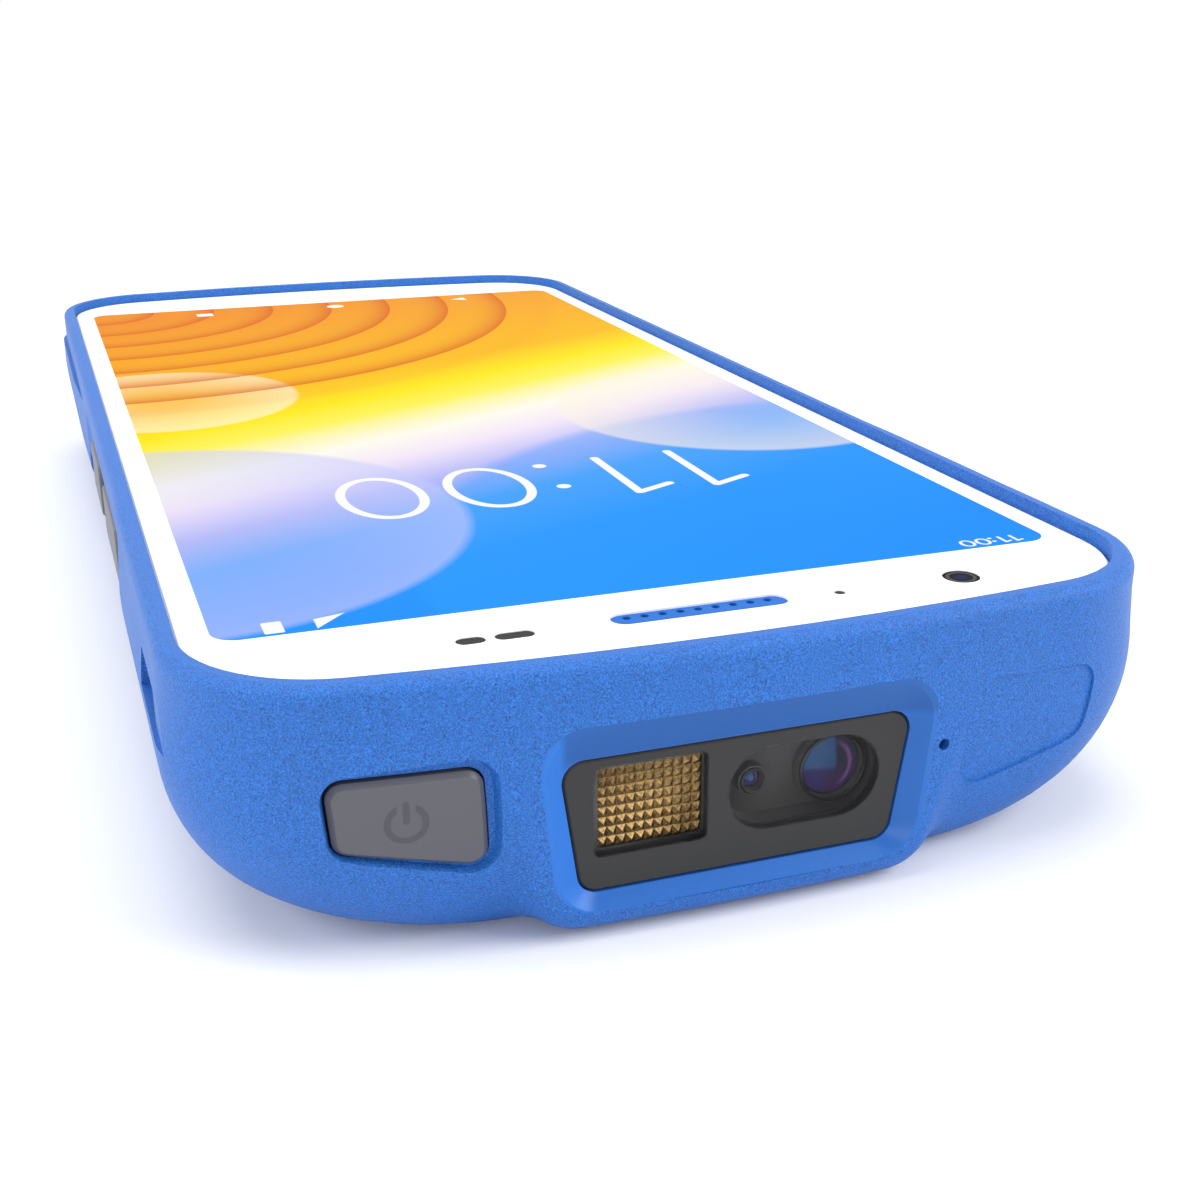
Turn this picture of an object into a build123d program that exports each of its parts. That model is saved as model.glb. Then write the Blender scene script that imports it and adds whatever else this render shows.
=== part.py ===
from build123d import *
import os
from math import cos, radians, sin, sqrt

# Handheld barcode data terminal, lying on its back with the screen up.
# Millimetres. The scanner end faces -Y, the screen faces +Z, and the origin is on the
# resting plane below the middle of the case.

os.makedirs("parts", exist_ok=True)

# ---------------------------------------------------------------- driving dimensions

# Case
case_width = 76.1
shoulder_swell = 0.6        # the walls lean out to this over the scanner end
pad_swell = 0.45            # the side pads stand out of the walls
case_length = 165.0
case_depth = 18.0           # top of the rim down to the flat back
case_half = case_width / 2
near_y = -case_length / 2   # scanner end
far_y = case_length / 2     # socket end
corner_radius = 12.5
crown_radius = 240.0        # both ends bulge on this radius
round_level = 6.6           # below the glass, where the walls start to curve under
side_tuck = 11.4            # how far the curve carries the sides in
end_tuck = 5.5              # how far it carries the ends in
corner_growth = 2.2         # the corners open up by this much on the way down
curve_steps = 6             # sections from the wall to the foot
rim_round = 1.0
case_wall = 1.8
shoulder_from = near_y + 45.5  # the shoulders fade into the walls between these two places
shoulder_to = near_y + 54.5

# Scanner head and the window's hump
head_drop = 3.0             # the head is this much deeper than the grip
head_length = 36.0          # from the scanner end to the ramp
head_ramp = 9.0
head_floor = 1.8
hump_foot = 0.4             # above the head's foot
hump_foot_width = 28.4
hump_root_width = 37.3
hump_root_height = 12.8
hump_length = 11.0
hump_flare = 0.4            # its sides spread this much for each step back from the face
hump_round = 4.5
hump_lip_round = 1.9
hump_blend = 5.0            # it grows out of the head on this radius

# Screen stack, from the glass down
opening_width = case_width - 2.8
opening_length = case_length - 3.7
opening_corner = 10.7
rim_height = 1.1            # the rim stands this far above the glass
glass_thickness = 1.1
insert_gap = 0.05           # round the pieces set into the glass
insert_sink = 0.05
film_thickness = 0.15
tape_thickness = 0.25
ledge_width = 1.7
ledge_thickness = 1.6
active_width = case_width - 7.9  # six inch panel, twice as long as wide
active_length = 136.4
active_near = 15.1          # from the scanner end to the lit area
panel_border = 0.6
panel_tail = 4.0            # driver ledge at the far end
frame_thickness = 1.2

# Line of small features in front of the lit area
brow_y = near_y + 9.5
earpiece_x = 0.25
earpiece_y = near_y + 9.8
earpiece_length = 13.9
earpiece_width = 2.2
earpiece_holes = 9
earpiece_pitch = 1.4
earpiece_hole_radius = 0.32
earpiece_hole_shift = 0.45  # the row of holes lies towards the screen
proximity_sizes = ((-17.2, 2.1), (-14.0, 2.85))     # place along X and length
proximity_width = 1.25
indicator_x = 11.5
indicator_radius = 0.4
camera_x = 22.0
camera_window_radius = 1.42

# Scan window in the scanner end
bezel_top = 3.5             # below the glass
bezel_height = 14.1
bezel_top_width = 30.9
bezel_foot_width = 28.0
bezel_corner = 3.2
window_top = 6.5            # below the glass
window_height = 10.1
window_top_width = 27.0
window_foot_width = 24.0
window_corner = 1.5
window_sink = 1.4           # the window lies this far behind the face
window_thickness = 0.9
gasket_thickness = 0.2
gasket_width = 0.8
bezel_lip = 0.7
bevel_start = 0.15          # behind the face, where the slope down to the window begins

# Scan engine
engine_width = 24.8
engine_height = 9.8
engine_depth = 15.8
engine_setback = 0.4        # behind the bezel's lip
engine_recess = 1.1
lens_row = 0.2              # the lens axes lie this far below the engine's middle
illumination_x = -6.0
illumination_width = 7.9
illumination_height = 6.2
aiming_x = 2.45
imaging_x = 9.0
recess_height = 6.2
aiming_radius = 0.75
imaging_radius = 2.5
barrel_wall = 0.45

# Power key in the scanner end
power_x = -23.85
power_width = 10.8
power_inner_height = 7.6    # the edge beside the window
power_outer_height = 5.2    # the edge beside the corner
power_lean = 0.45           # both of these edges lean by this much
power_top = 5.7             # below the glass
power_corner = 1.2
scoop_margin = 1.5
scoop_depth = 0.7
key_sink = 0.1              # key face behind the face of the case
pad_depth = 0.2             # the blank pad on the other side of the window

# Side keys
bay_from = near_y + 52.5
bay_to = near_y + 103.5
bay_depth = 0.35
key_level = 6.4             # middle of the side keys, below the glass
key_height = 5.6
key_proud = 0.5
flange = 0.8
flange_x = case_half - 2.2  # outer face of the keys' flanges, clear of the wall's curve
key_from = near_y + 54.0    # the inner frame stands back from the keys between these two
key_to = near_y + 94.5
flange_foot = 3.1           # below the middle of the keys
flange_head = 3.1           # above it
rocker_axle = 0.4
volume_y = near_y + 64.5
volume_length = 18.0
scan_y = near_y + 86.0
scan_length = 14.0
dome_spread = 5.0           # the rocker's two switches, each side of its middle
dome_height = 0.75
flex_thickness = 0.3

# Side pads and strap slots
pad_from = far_y - 58.5
pad_to = far_y - 8.5
pad_top = 3.0
slot_from = near_y + 8.5
slot_to = near_y + 24.5
slot_top = 3.1
slot_height = 3.1
slot_flat = 0.35
slot_depth = 1.9
slot_hole_length = 8.0

# Back
cover_thickness = 1.6
seal_thickness = 0.3
cover_ledge = 1.1
cover_ledge_width = 1.7
cover_half = case_half - 8.75
cover_from = near_y + 46.5
cover_to = far_y - 10.0
cover_corner = 5.0
screw_inset = 3.0

# Battery, its lid and the two latches
pack_width = 48.0
pack_length = case_length - 95.0
pack_height = 7.3
pack_near = cover_from + 20.0
pack_margin = 0.3
lid_side_border = 2.5       # the lid stands out past the pack
lid_end_border = 3.0
tub_wall = 1.2
tub_roof = 1.0
tub_flange = 0.9            # past the lid's opening
tub_flange_height = 1.0
latch_x = 15.0
latch_width = 6.0
latch_bite = 1.0            # into the groove in the pack's end
latch_travel = 1.6
latch_from = cover_from + 5.0
latch_height = 0.9
button_from = cover_from + 6.5
button_length = 4.0
button_width = 5.0
button_sink = 0.2

# Boards
board_gap = 1.8             # below the frame
board_thickness = 1.0
board_half_width = case_half - 6.55
board_near = near_y + 22.5
board_far = near_y + 64.0
wing_near = near_y + 16.5   # one corner of the board reaches past the scan engine
wing_from = 14.0
io_near = far_y - 22.0
io_far = far_y - 4.0
io_half_width = case_half - 12.05
shield_height = 2.0
standoff_radius = 1.9
board_screw_radius = 0.7
board_screw_head = 1.4
board_screw_head_height = 0.8

# Clearances and fits
slip = 0.1                  # pieces that drop into a pocket
key_gap = 0.15              # round a key in its opening
key_travel = 0.4
dome_gap = 0.05             # left over a switch when its key is fully down
screw_radius = 0.9
screw_fit = 0.05
screw_head_radius = 1.7
screw_head_height = 1.0
boss_radius = 2.5
boss_height = 5.5

# ---------------------------------------------------------------- levels and places

back_z = head_drop
rim_z = back_z + case_depth
glass_z = rim_z - rim_height
round_z = glass_z - round_level


def below(depth):
    """Height of a level that lies this far below the face of the glass."""
    return glass_z - depth


film_z = below(glass_thickness)
tape_z = film_z - film_thickness
ledge_z = tape_z - tape_thickness
frame_z = ledge_z - ledge_thickness
frame_foot = frame_z - frame_thickness
board_z = frame_foot - board_gap
board_foot = board_z - board_thickness
cover_z = back_z + cover_thickness
seal_z = cover_z + seal_thickness
floor_z = seal_z + cover_ledge
pack_top = cover_z + pack_height
tub_z = pack_top + slip

active_near_y = near_y + active_near
active_far_y = active_near_y + active_length
inner_near_y = near_y + case_wall
shoulder_half = case_half + shoulder_swell
wall_x = case_half - case_wall
bay_x = case_half - bay_depth
key_face_x = bay_x + key_proud
dome_x = flange_x - flange - key_travel - dome_gap
key_z = below(key_level)

window_y = near_y + window_sink
gasket_y = window_y + window_thickness
lip_y = gasket_y + gasket_thickness
engine_y = lip_y + bezel_lip + engine_setback
engine_z = below(window_top + window_height / 2 + 0.1)
ramp_y = near_y + head_length
grip_y = ramp_y + head_ramp
lens_z = engine_z - lens_row


# ---------------------------------------------------------------- shapes used repeatedly


def block(x_low, x_high, y_low, y_high, z_low, z_high, mode=Mode.ADD):
    """Rectangular block between its limits, in the part that is being built."""
    with Locations(((x_low + x_high) / 2, (y_low + y_high) / 2, (z_low + z_high) / 2)):
        return Box(x_high - x_low, y_high - y_low, z_high - z_low, mode=mode)


def post(x, y, radius, z_low, z_high, mode=Mode.ADD):
    """Upright cylinder between two heights, in the part that is being built."""
    with Locations((x, y, z_low)):
        return Cylinder(radius, z_high - z_low, align=(Align.CENTER, Align.CENTER, Align.MIN), mode=mode)


def corner_arc(half_width, half_length, corner, crown):
    """Where a corner arc has its centre, its middle and its meeting with the crowned end."""
    across = half_width - corner
    crown_y = half_length - crown
    centre = Vector(across, crown_y + sqrt((crown - corner) ** 2 - across**2))
    lean = Vector(centre.X, centre.Y - crown_y).normalized()
    middle = (lean + Vector(1, 0)).normalized()
    return centre, centre + middle * corner, centre + lean * corner


def crowned_outline(half_width, half_length, corner, crown, near_swell=0):
    """Plan outline with crowned ends and round corners, wider near the scanner end by a swell."""
    with BuildSketch() as outline:
        with BuildLine():
            starts = {}
            for end, half in ((-1, half_width + near_swell), (1, half_width)):
                centre, middle, tip = corner_arc(half, half_length, corner, crown)
                starts[end] = end * centre.Y
                ThreePointArc((-tip.X, end * tip.Y), (0, end * half_length), (tip.X, end * tip.Y))
                for side in (-1, 1):
                    ThreePointArc(
                        (side * tip.X, end * tip.Y),
                        (side * middle.X, end * middle.Y),
                        (side * half, end * centre.Y),
                    )
            for side in (-1, 1):
                if near_swell == 0:
                    Line((side * half_width, starts[-1]), (side * half_width, starts[1]))
                    continue
                near_x = side * (half_width + near_swell)
                meeting = ((near_x + side * half_width) / 2, (shoulder_from + shoulder_to) / 2)
                Line((near_x, starts[-1]), (near_x, shoulder_from))
                TangentArc((near_x, shoulder_from), meeting, tangent=(0, 1))
                TangentArc((side * half_width, shoulder_to), meeting, tangent=(0, -1))
                Line((side * half_width, shoulder_to), (side * half_width, starts[1]))
        make_face()
    return outline.sketch


def case_outline(inset):
    """Outline of the case, moved inwards."""
    return crowned_outline(
        case_half - inset, case_length / 2 - inset, corner_radius - inset, crown_radius - inset
    )


def screen_outline(inset):
    """Outline of the opening that holds the glass, moved inwards."""
    return crowned_outline(
        opening_width / 2 - inset, opening_length / 2 - inset, opening_corner - inset, crown_radius
    )


def case_prism(inset, z_low, z_high):
    """Straight-walled solid of the case's outline between two heights."""
    with BuildPart() as solid:
        with BuildSketch(Plane.XY.offset(z_low)):
            add(case_outline(inset))
        extrude(amount=z_high - z_low)
    return solid.part


def hull(inset, foot, top):
    """The case's outside moved inwards: straight walls over a lower part that curves under."""
    levels = [
        (top - step * (top - round_z) / 3, 0, shoulder_swell * max(step, 0.1) / 3) for step in range(3)
    ]
    for step in range(curve_steps + 1):
        angle = radians(90 * step / curve_steps)
        levels.append((round_z - (round_z - foot) * sin(angle), 1 - cos(angle), shoulder_swell))
    with BuildPart() as solid:
        for height, tuck, swell in levels:
            with BuildSketch(Plane.XY.offset(height)):
                add(
                    crowned_outline(
                        case_half - inset - side_tuck * tuck,
                        case_length / 2 - inset - end_tuck * tuck,
                        corner_radius - inset + corner_growth * tuck,
                        crown_radius - inset,
                        swell,
                    )
                )
        loft()
    return solid.part


def back_step(rise):
    """What lies under the grip: everything below the flat back, raised, and behind the head."""
    with BuildPart() as step:
        with BuildSketch(Plane.YZ.offset(-case_width)):
            with BuildLine():
                Polyline(
                    (ramp_y, rise),
                    (grip_y, back_z + rise),
                    (far_y + 10, back_z + rise),
                    (far_y + 10, -10),
                    (ramp_y, -10),
                    close=True,
                )
            make_face()
        extrude(amount=2 * case_width)
    return step.part


def screen_solid(inset, z_low, z_high):
    """The screen opening's outline between two heights."""
    with BuildPart() as solid:
        with BuildSketch(Plane.XY.offset(z_low)):
            add(screen_outline(inset))
        extrude(amount=z_high - z_low)
    return solid.part


def trapezoid(top, height, top_width, foot_width, corner, inset):
    """Upright trapezoid with round corners in the XZ plane, wide at the top, moved inwards."""
    with BuildSketch() as face:
        with BuildLine():
            Polyline(
                (-top_width / 2, below(top)),
                (top_width / 2, below(top)),
                (foot_width / 2, below(top + height)),
                (-foot_width / 2, below(top + height)),
                close=True,
            )
        make_face()
        fillet(face.vertices(), corner)
        if inset != 0:
            offset(amount=-inset, mode=Mode.REPLACE)
    return face.sketch


def bezel_face(inset):
    """Outline of the bezel round the scan window, moved inwards."""
    return trapezoid(bezel_top, bezel_height, bezel_top_width, bezel_foot_width, bezel_corner, inset)


def window_face(inset):
    """Outline of the scan window, moved inwards."""
    return trapezoid(window_top, window_height, window_top_width, window_foot_width, window_corner, inset)


def upright(face, y_low, y_high):
    """Prism of an outline in the XZ plane between two depths."""
    with BuildPart() as solid:
        with BuildSketch(Plane.XZ.offset(-y_low)):
            add(face)
        extrude(amount=-(y_high - y_low))
    return solid.part


def power_face(margin):
    """Power key's outline in the XZ plane, taller beside the window, moved outwards."""
    top = below(power_top)
    left = power_x - power_width / 2
    right = power_x + power_width / 2
    with BuildSketch() as face:
        with BuildLine():
            Polyline(
                (left, top),
                (right - power_lean, top),
                (right, top - power_inner_height),
                (left + power_lean, top - power_outer_height),
                close=True,
            )
        make_face()
        fillet(face.vertices(), power_corner)
        if margin != 0:
            offset(amount=margin, mode=Mode.REPLACE)
    return face.sketch


def face_dish(margin, depth):
    """What a dish round the power key takes off the face: sloping sides, floor along the face."""
    reach = 3.4
    with BuildPart() as dish:
        with BuildSketch(Plane.XZ.offset(-(near_y - reach / 8))):
            add(power_face(margin))
        with BuildSketch(Plane.XZ.offset(-(near_y + reach))):
            add(power_face(margin - reach / 2))
        loft()
        add(hull(depth, 0, rim_z), mode=Mode.SUBTRACT)
    return dish.part


def rounded_plate(x_half, y_low, y_high, corner, z_low, z_high):
    """Plate with rounded corners between its limits."""
    with BuildPart() as plate:
        with BuildSketch(Plane.XY.offset(z_low)):
            with Locations((0, (y_low + y_high) / 2)):
                RectangleRounded(2 * x_half, y_high - y_low, corner)
        extrude(amount=z_high - z_low)
    return plate.part


def side_bar(side, x_inner, x_outer, y_middle, length, z_middle, height, corner):
    """Bar with round corners that stands out of a side wall, along X."""
    with BuildPart() as bar:
        with BuildSketch(Plane.YZ.offset(side * x_inner)):
            with Locations((y_middle, z_middle)):
                RectangleRounded(length, height, corner)
        extrude(amount=side * (x_outer - x_inner))
    return bar.part


# ---------------------------------------------------------------- front housing

def save(name, solid):
    """Label a finished part and write it out."""
    solid.part.label = name
    export_step(solid.part, f"parts/{name}.step")


screw_places = [
    (side * (cover_half - screw_inset), y)
    for side in (-1, 1)
    for y in (cover_from + screw_inset, cover_to - screw_inset)
]
side_key_places = {
    "volume_key": (-1, volume_y, volume_length),
    "right_scan_key": (-1, scan_y, scan_length),
    "left_scan_key": (1, volume_y, volume_length),
    "talk_key": (1, scan_y, scan_length),
}
axle_x = case_half - 1.15
axle_length = 0.4           # past the top and the foot of the key
microphone_x = 15.8
microphone_z = below(9.3)
microphone_hole_radius = 0.45
rear_camera_x = 20.0
rear_camera_y = near_y + 22.5
rear_window_radius = 4.5
rear_window_thickness = 1.0
rear_barrel_radius = 3.0
flash_y = near_y + 31.0
flash_radius = 2.2
usb_width = 8.94
usb_height = 3.2
usb_length = 7.4
usb_sink = 0.6
usb_z = board_foot - usb_height / 2
speaker_x = -16.0
speaker_holes = 5
speaker_pitch = 2.6
speaker_hole_radius = 0.6
speaker_z = below(9.0)
far_microphone_x = 12.0
well_half = engine_width / 2 + 0.5
well_far = engine_y + engine_depth + 2.0

with BuildPart() as hump:
    for y, spread in ((near_y, 0), (near_y + hump_length, hump_flare * hump_length)):
        with BuildSketch(Plane.XZ.offset(-y)) as section:
            with BuildLine():
                Polyline(
                    (-hump_foot_width / 2 - spread, hump_foot),
                    (hump_foot_width / 2 + spread, hump_foot),
                    (hump_root_width / 2 + spread, hump_root_height),
                    (-hump_root_width / 2 - spread, hump_root_height),
                    close=True,
                )
            make_face()
            fillet(section.vertices().group_by(Axis.Y)[0], hump_round)
    loft()
    add(case_prism(0, hump_foot - 1, hump_root_height), mode=Mode.INTERSECT)
    hump_lip = hump.faces().sort_by(Axis.Y)[0]
    fillet(hump_lip.edges().filter_by(lambda edge: edge.center().Z < hump_root_height - 1), hump_lip_round)

with BuildPart() as cavity:
    add(hull(case_wall, head_floor, frame_z))
    add(back_step(floor_z - back_z), mode=Mode.SUBTRACT)


def side_swell(side, swell, top, places):
    """Raised area on one side wall: from its top down, as wide as the places say along Y."""
    with BuildPart() as area:
        with BuildSketch(Plane.XY.offset(-1)):
            with BuildLine():
                Polyline(
                    (side * (wall_x - 12), places[0][0]),
                    *[(side * (case_half + swell * share), y) for y, share in places],
                    (side * (wall_x - 12), places[-1][0]),
                    close=True,
                )
            make_face()
        extrude(amount=below(top) + 1)
        add(hull(-swell, 0, rim_z), mode=Mode.INTERSECT)
    return area.part


pad_places = ((pad_from, -0.2), (pad_from + 15, 1), (pad_to - 4, 1), (pad_to, -0.2))

with BuildPart() as case_outside:
    add(hull(0, 0, rim_z))
    fillet(case_outside.edges().group_by(Axis.Z)[-1], rim_round)
    for side in (-1, 1):
        add(side_swell(side, pad_swell, pad_top, pad_places))
    add(back_step(0), mode=Mode.SUBTRACT)
    bare = case_outside.part
    add(hump.part)
    hump_sides = [
        edge
        for edge in case_outside.edges()
        if abs((edge @ 0.5).X) < hump_root_width / 2 + hump_flare * hump_length
        and hump_foot + 0.4 < (edge @ 0.5).Z < hump_root_height - 1
        and (edge @ 0.5).Y < near_y + hump_length
        and bare.distance_to(edge @ 0.5) < 0.001
    ]
    fillet(hump_sides, hump_blend)

with BuildPart() as front_housing:
    add(case_outside.part)
    # Inside: room for the works, the opening for the glass and the ledge that carries it
    add(cavity.part, mode=Mode.SUBTRACT)
    add(screen_solid(0, ledge_z, rim_z + 1), mode=Mode.SUBTRACT)
    add(screen_solid(ledge_width, frame_z - 1, ledge_z + 1), mode=Mode.SUBTRACT)
    # Well for the scan engine and the opening for its bezel
    block(-well_half, well_half, inner_near_y, well_far, head_floor + 0.4, frame_z, mode=Mode.SUBTRACT)
    add(upright(bezel_face(0), near_y - 1, lip_y + bezel_lip + slip), mode=Mode.SUBTRACT)
    # Power key: dish in the face and the opening through the wall, and the blank pad
    add(face_dish(scoop_margin, scoop_depth), mode=Mode.SUBTRACT)
    add(upright(power_face(key_gap), near_y - 1, near_y + 6), mode=Mode.SUBTRACT)
    add(mirror(face_dish(scoop_margin, pad_depth), about=Plane.YZ, mode=Mode.PRIVATE), mode=Mode.SUBTRACT)
    # Side bays, key openings and strap slots
    for side in (-1, 1):
        with BuildSketch(Plane.XY.offset(key_z - key_height / 2 - 1.2)):
            with BuildLine():
                Polyline(
                    (side * (case_half + 1), bay_from - 1),
                    (side * case_half, bay_from),
                    (side * bay_x, bay_from + 1.5),
                    (side * bay_x, bay_to - 1.5),
                    (side * case_half, bay_to),
                    (side * (case_half + 1), bay_to + 1),
                    close=True,
                )
            make_face()
        extrude(amount=key_height + 1.8, mode=Mode.SUBTRACT)
    for side, middle, length in side_key_places.values():
        add(
            side_bar(
                side,
                wall_x - 1,
                shoulder_half + 1,
                middle,
                length + 2 * key_gap,
                key_z,
                key_height + 2 * key_gap,
                1.2 + key_gap,
            ),
            mode=Mode.SUBTRACT,
        )
    for reach in (-1, 1):
        axle_end = key_z + reach * (key_height / 2 + axle_length + slip)
        with Locations((-axle_x, volume_y, (key_z + axle_end) / 2)):
            Cylinder(rocker_axle + 0.05, abs(axle_end - key_z), mode=Mode.SUBTRACT)
    for side in (-1, 1):
        outside = side * (shoulder_half + 1)
        flat_x = side * (shoulder_half - slot_flat)
        hole_x = side * (shoulder_half - slot_depth)
        low = below(slot_top + slot_height)
        high = below(slot_top)
        block(
            min(flat_x, outside), max(flat_x, outside), slot_from, slot_to, low, high, mode=Mode.SUBTRACT
        )
        block(
            min(hole_x, outside),
            max(hole_x, outside),
            slot_to - slot_hole_length,
            slot_to,
            low,
            high,
            mode=Mode.SUBTRACT,
        )
    # Opening for the rear cover, with the ledge it seats on
    add(
        rounded_plate(
            cover_half + slip, cover_from - slip, cover_to + slip, cover_corner, back_z - 1, seal_z
        ),
        mode=Mode.SUBTRACT,
    )
    add(
        rounded_plate(
            cover_half - cover_ledge_width,
            cover_from + cover_ledge_width,
            cover_to - cover_ledge_width,
            cover_corner - cover_ledge_width,
            seal_z - 1,
            floor_z + 1,
        ),
        mode=Mode.SUBTRACT,
    )
    for x, y in screw_places:
        post(x, y, boss_radius, seal_z, seal_z + boss_height)
        post(x, y, screw_radius + screw_fit, seal_z - 1, seal_z + boss_height + 0.5, mode=Mode.SUBTRACT)
    # Microphone holes, speaker holes and the socket's opening
    with Locations(Plane.XZ.offset(-near_y) * Pos(microphone_x, microphone_z)):
        Cylinder(microphone_hole_radius, 8, mode=Mode.SUBTRACT)
    with Locations(Plane.XZ.offset(-far_y) * Pos(far_microphone_x, speaker_z)):
        Cylinder(microphone_hole_radius, 8, mode=Mode.SUBTRACT)
    with Locations(Plane.XZ.offset(-far_y) * Pos(speaker_x, speaker_z)):
        with GridLocations(speaker_pitch, 1, speaker_holes, 1):
            Cylinder(speaker_hole_radius, 12, mode=Mode.SUBTRACT)
    with BuildSketch(Plane.XZ.offset(-(far_y - 6))):
        with Locations((0, usb_z)):
            SlotOverall(usb_width + 2 * key_gap, usb_height + 2 * key_gap)
    extrude(amount=-8, mode=Mode.SUBTRACT)
    # Rear camera and flash
    post(rear_camera_x, rear_camera_y, rear_window_radius + slip, -1, rear_window_thickness, Mode.SUBTRACT)
    post(rear_camera_x, rear_camera_y, rear_barrel_radius + 2 * slip, 0, head_floor + 1, Mode.SUBTRACT)
    post(rear_camera_x, flash_y, flash_radius + slip / 2, -1, head_floor + 1, Mode.SUBTRACT)
save("front_housing", front_housing)

# ---------------------------------------------------------------- glass and what lies under it


def brow_openings(low, high, margin):
    """Room for the inserts in the glass and in the film, cut from the part in hand."""
    with BuildSketch(Plane.XY.offset(low)) as openings:
        with Locations((earpiece_x, earpiece_y)):
            SlotOverall(earpiece_length + 2 * margin, earpiece_width + 2 * margin)
        for x, length in proximity_sizes:
            with Locations((x, brow_y)):
                SlotOverall(length + 2 * margin, proximity_width + 2 * margin)
        with Locations((indicator_x, brow_y)):
            Circle(indicator_radius + margin)
        with Locations((camera_x, brow_y)):
            Circle(camera_window_radius + margin)
    extrude(openings.sketch, amount=high - low, mode=Mode.SUBTRACT)


with BuildPart() as cover_glass:
    add(screen_solid(slip, film_z, glass_z))
    chamfer(cover_glass.edges().group_by(Axis.Z)[-1], 0.25)
    brow_openings(film_z - 1, glass_z + 1, insert_gap)
save("cover_glass", cover_glass)

with BuildPart() as bezel_film:
    add(screen_solid(slip, tape_z, film_z))
    block(
        -active_width / 2,
        active_width / 2,
        active_near_y,
        active_far_y,
        tape_z - 1,
        film_z + 1,
        Mode.SUBTRACT,
    )
    brow_openings(tape_z - 1, film_z + 1, insert_gap)
save("bezel_film", bezel_film)

with BuildPart() as glass_tape:
    add(screen_solid(slip, ledge_z, tape_z))
    add(screen_solid(ledge_width - slip, ledge_z - 1, tape_z + 1), mode=Mode.SUBTRACT)
save("glass_tape", glass_tape)

panel_half = active_width / 2 + panel_border
with BuildPart() as display_panel:
    block(
        -panel_half,
        panel_half,
        active_near_y - panel_border,
        active_far_y + panel_border,
        frame_z,
        tape_z,
    )
    block(
        -panel_half + 3,
        panel_half - 3,
        active_far_y + panel_border,
        active_far_y + panel_border + panel_tail,
        frame_z,
        frame_z + 0.9,
    )
save("display_panel", display_panel)

grille_z = glass_z - 0.15
with BuildPart() as earpiece_grille:
    with BuildSketch(Plane.XY.offset(tape_z)):
        with Locations((earpiece_x, earpiece_y)):
            SlotOverall(earpiece_length, earpiece_width)
    extrude(amount=grille_z - tape_z)
    with BuildSketch(Plane.XY.offset(tape_z - 1)):
        with Locations((earpiece_x, earpiece_y + earpiece_hole_shift)):
            with GridLocations(earpiece_pitch, 1, earpiece_holes, 1):
                Circle(earpiece_hole_radius)
    extrude(amount=3, mode=Mode.SUBTRACT)
save("earpiece_grille", earpiece_grille)

with BuildPart() as proximity_windows:
    with BuildSketch(Plane.XY.offset(tape_z)):
        for x, length in proximity_sizes:
            with Locations((x, brow_y)):
                SlotOverall(length, proximity_width)
    extrude(amount=glass_z - insert_sink - tape_z)
save("proximity_windows", proximity_windows)

with BuildPart() as indicator_lens:
    post(indicator_x, brow_y, indicator_radius, tape_z, glass_z - insert_sink)
save("indicator_lens", indicator_lens)

with BuildPart() as front_camera_window:
    post(camera_x, brow_y, camera_window_radius, tape_z, glass_z - insert_sink)
save("front_camera_window", front_camera_window)

with BuildPart() as earpiece_speaker:
    block(earpiece_x - 6, earpiece_x + 6, earpiece_y - 3, earpiece_y + 3, frame_z, tape_z)
    fillet(earpiece_speaker.edges().filter_by(Axis.Z), 1.2)
save("earpiece_speaker", earpiece_speaker)

with BuildPart() as front_camera:
    block(camera_x - 3, camera_x + 3, brow_y - 3, brow_y + 3, frame_z, tape_z - 0.5)
    post(camera_x, brow_y, 1.8, tape_z - 0.5, tape_z)
save("front_camera", front_camera)

# ---------------------------------------------------------------- inner frame

main_screws = [
    (side * (board_half_width - inset), y)
    for inset, y in ((2.5, board_near + 2.5), (7.0, board_far - 2.0))
    for side in (-1, 1)
]
io_screws = [(side * (io_half_width - 1.6), y) for side in (-1, 1) for y in (io_near + 3, io_far - 3)]
engine_top = engine_z + engine_height / 2
bracket_top = engine_top + 1.2
bracket_ear = engine_width / 2 + 4.9
ear_x = bracket_ear - 2.0
ear_y = near_y + 12.5
dome_wall_x = dome_x - dome_height - flex_thickness
tab_y = near_y + 6.9        # face of the tab behind the power key
with BuildPart() as midframe:
    with BuildSketch(Plane.XY.offset(frame_foot)):
        add(case_outline(case_wall + 0.25))
    extrude(amount=frame_thickness)
    for side in (-1, 1):
        edge = sorted((side * (dome_x - 0.2), side * case_half))
        block(*edge, key_from, key_to, frame_foot - 1, frame_z + 1, Mode.SUBTRACT)
        wall = sorted((side * dome_wall_x, side * (dome_wall_x - 1)))
        block(*wall, key_from - 1.5, key_to + 2, key_z - 4, frame_foot)
    bezel_half = bezel_top_width / 2 + slip
    block(
        -bezel_half,
        bezel_half,
        near_y,
        lip_y + bezel_lip + slip,
        frame_foot - 1,
        frame_z + 1,
        Mode.SUBTRACT,
    )
    block(power_x - 5.3, power_x + 5.2, tab_y, tab_y + 0.8, below(11.9), frame_foot)
    for x, y in main_screws + io_screws:
        post(x, y, standoff_radius, board_z, frame_foot)
        post(x, y, board_screw_radius + screw_fit, board_z - 1, frame_foot + 0.4, Mode.SUBTRACT)
    for side in (-1, 1):
        post(side * ear_x, ear_y, 2.0, bracket_top, frame_foot)
        post(
            side * ear_x,
            ear_y,
            board_screw_radius + screw_fit,
            bracket_top - 1,
            frame_foot + 0.4,
            Mode.SUBTRACT,
        )
save("midframe", midframe)

# ---------------------------------------------------------------- scan window and engine

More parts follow.
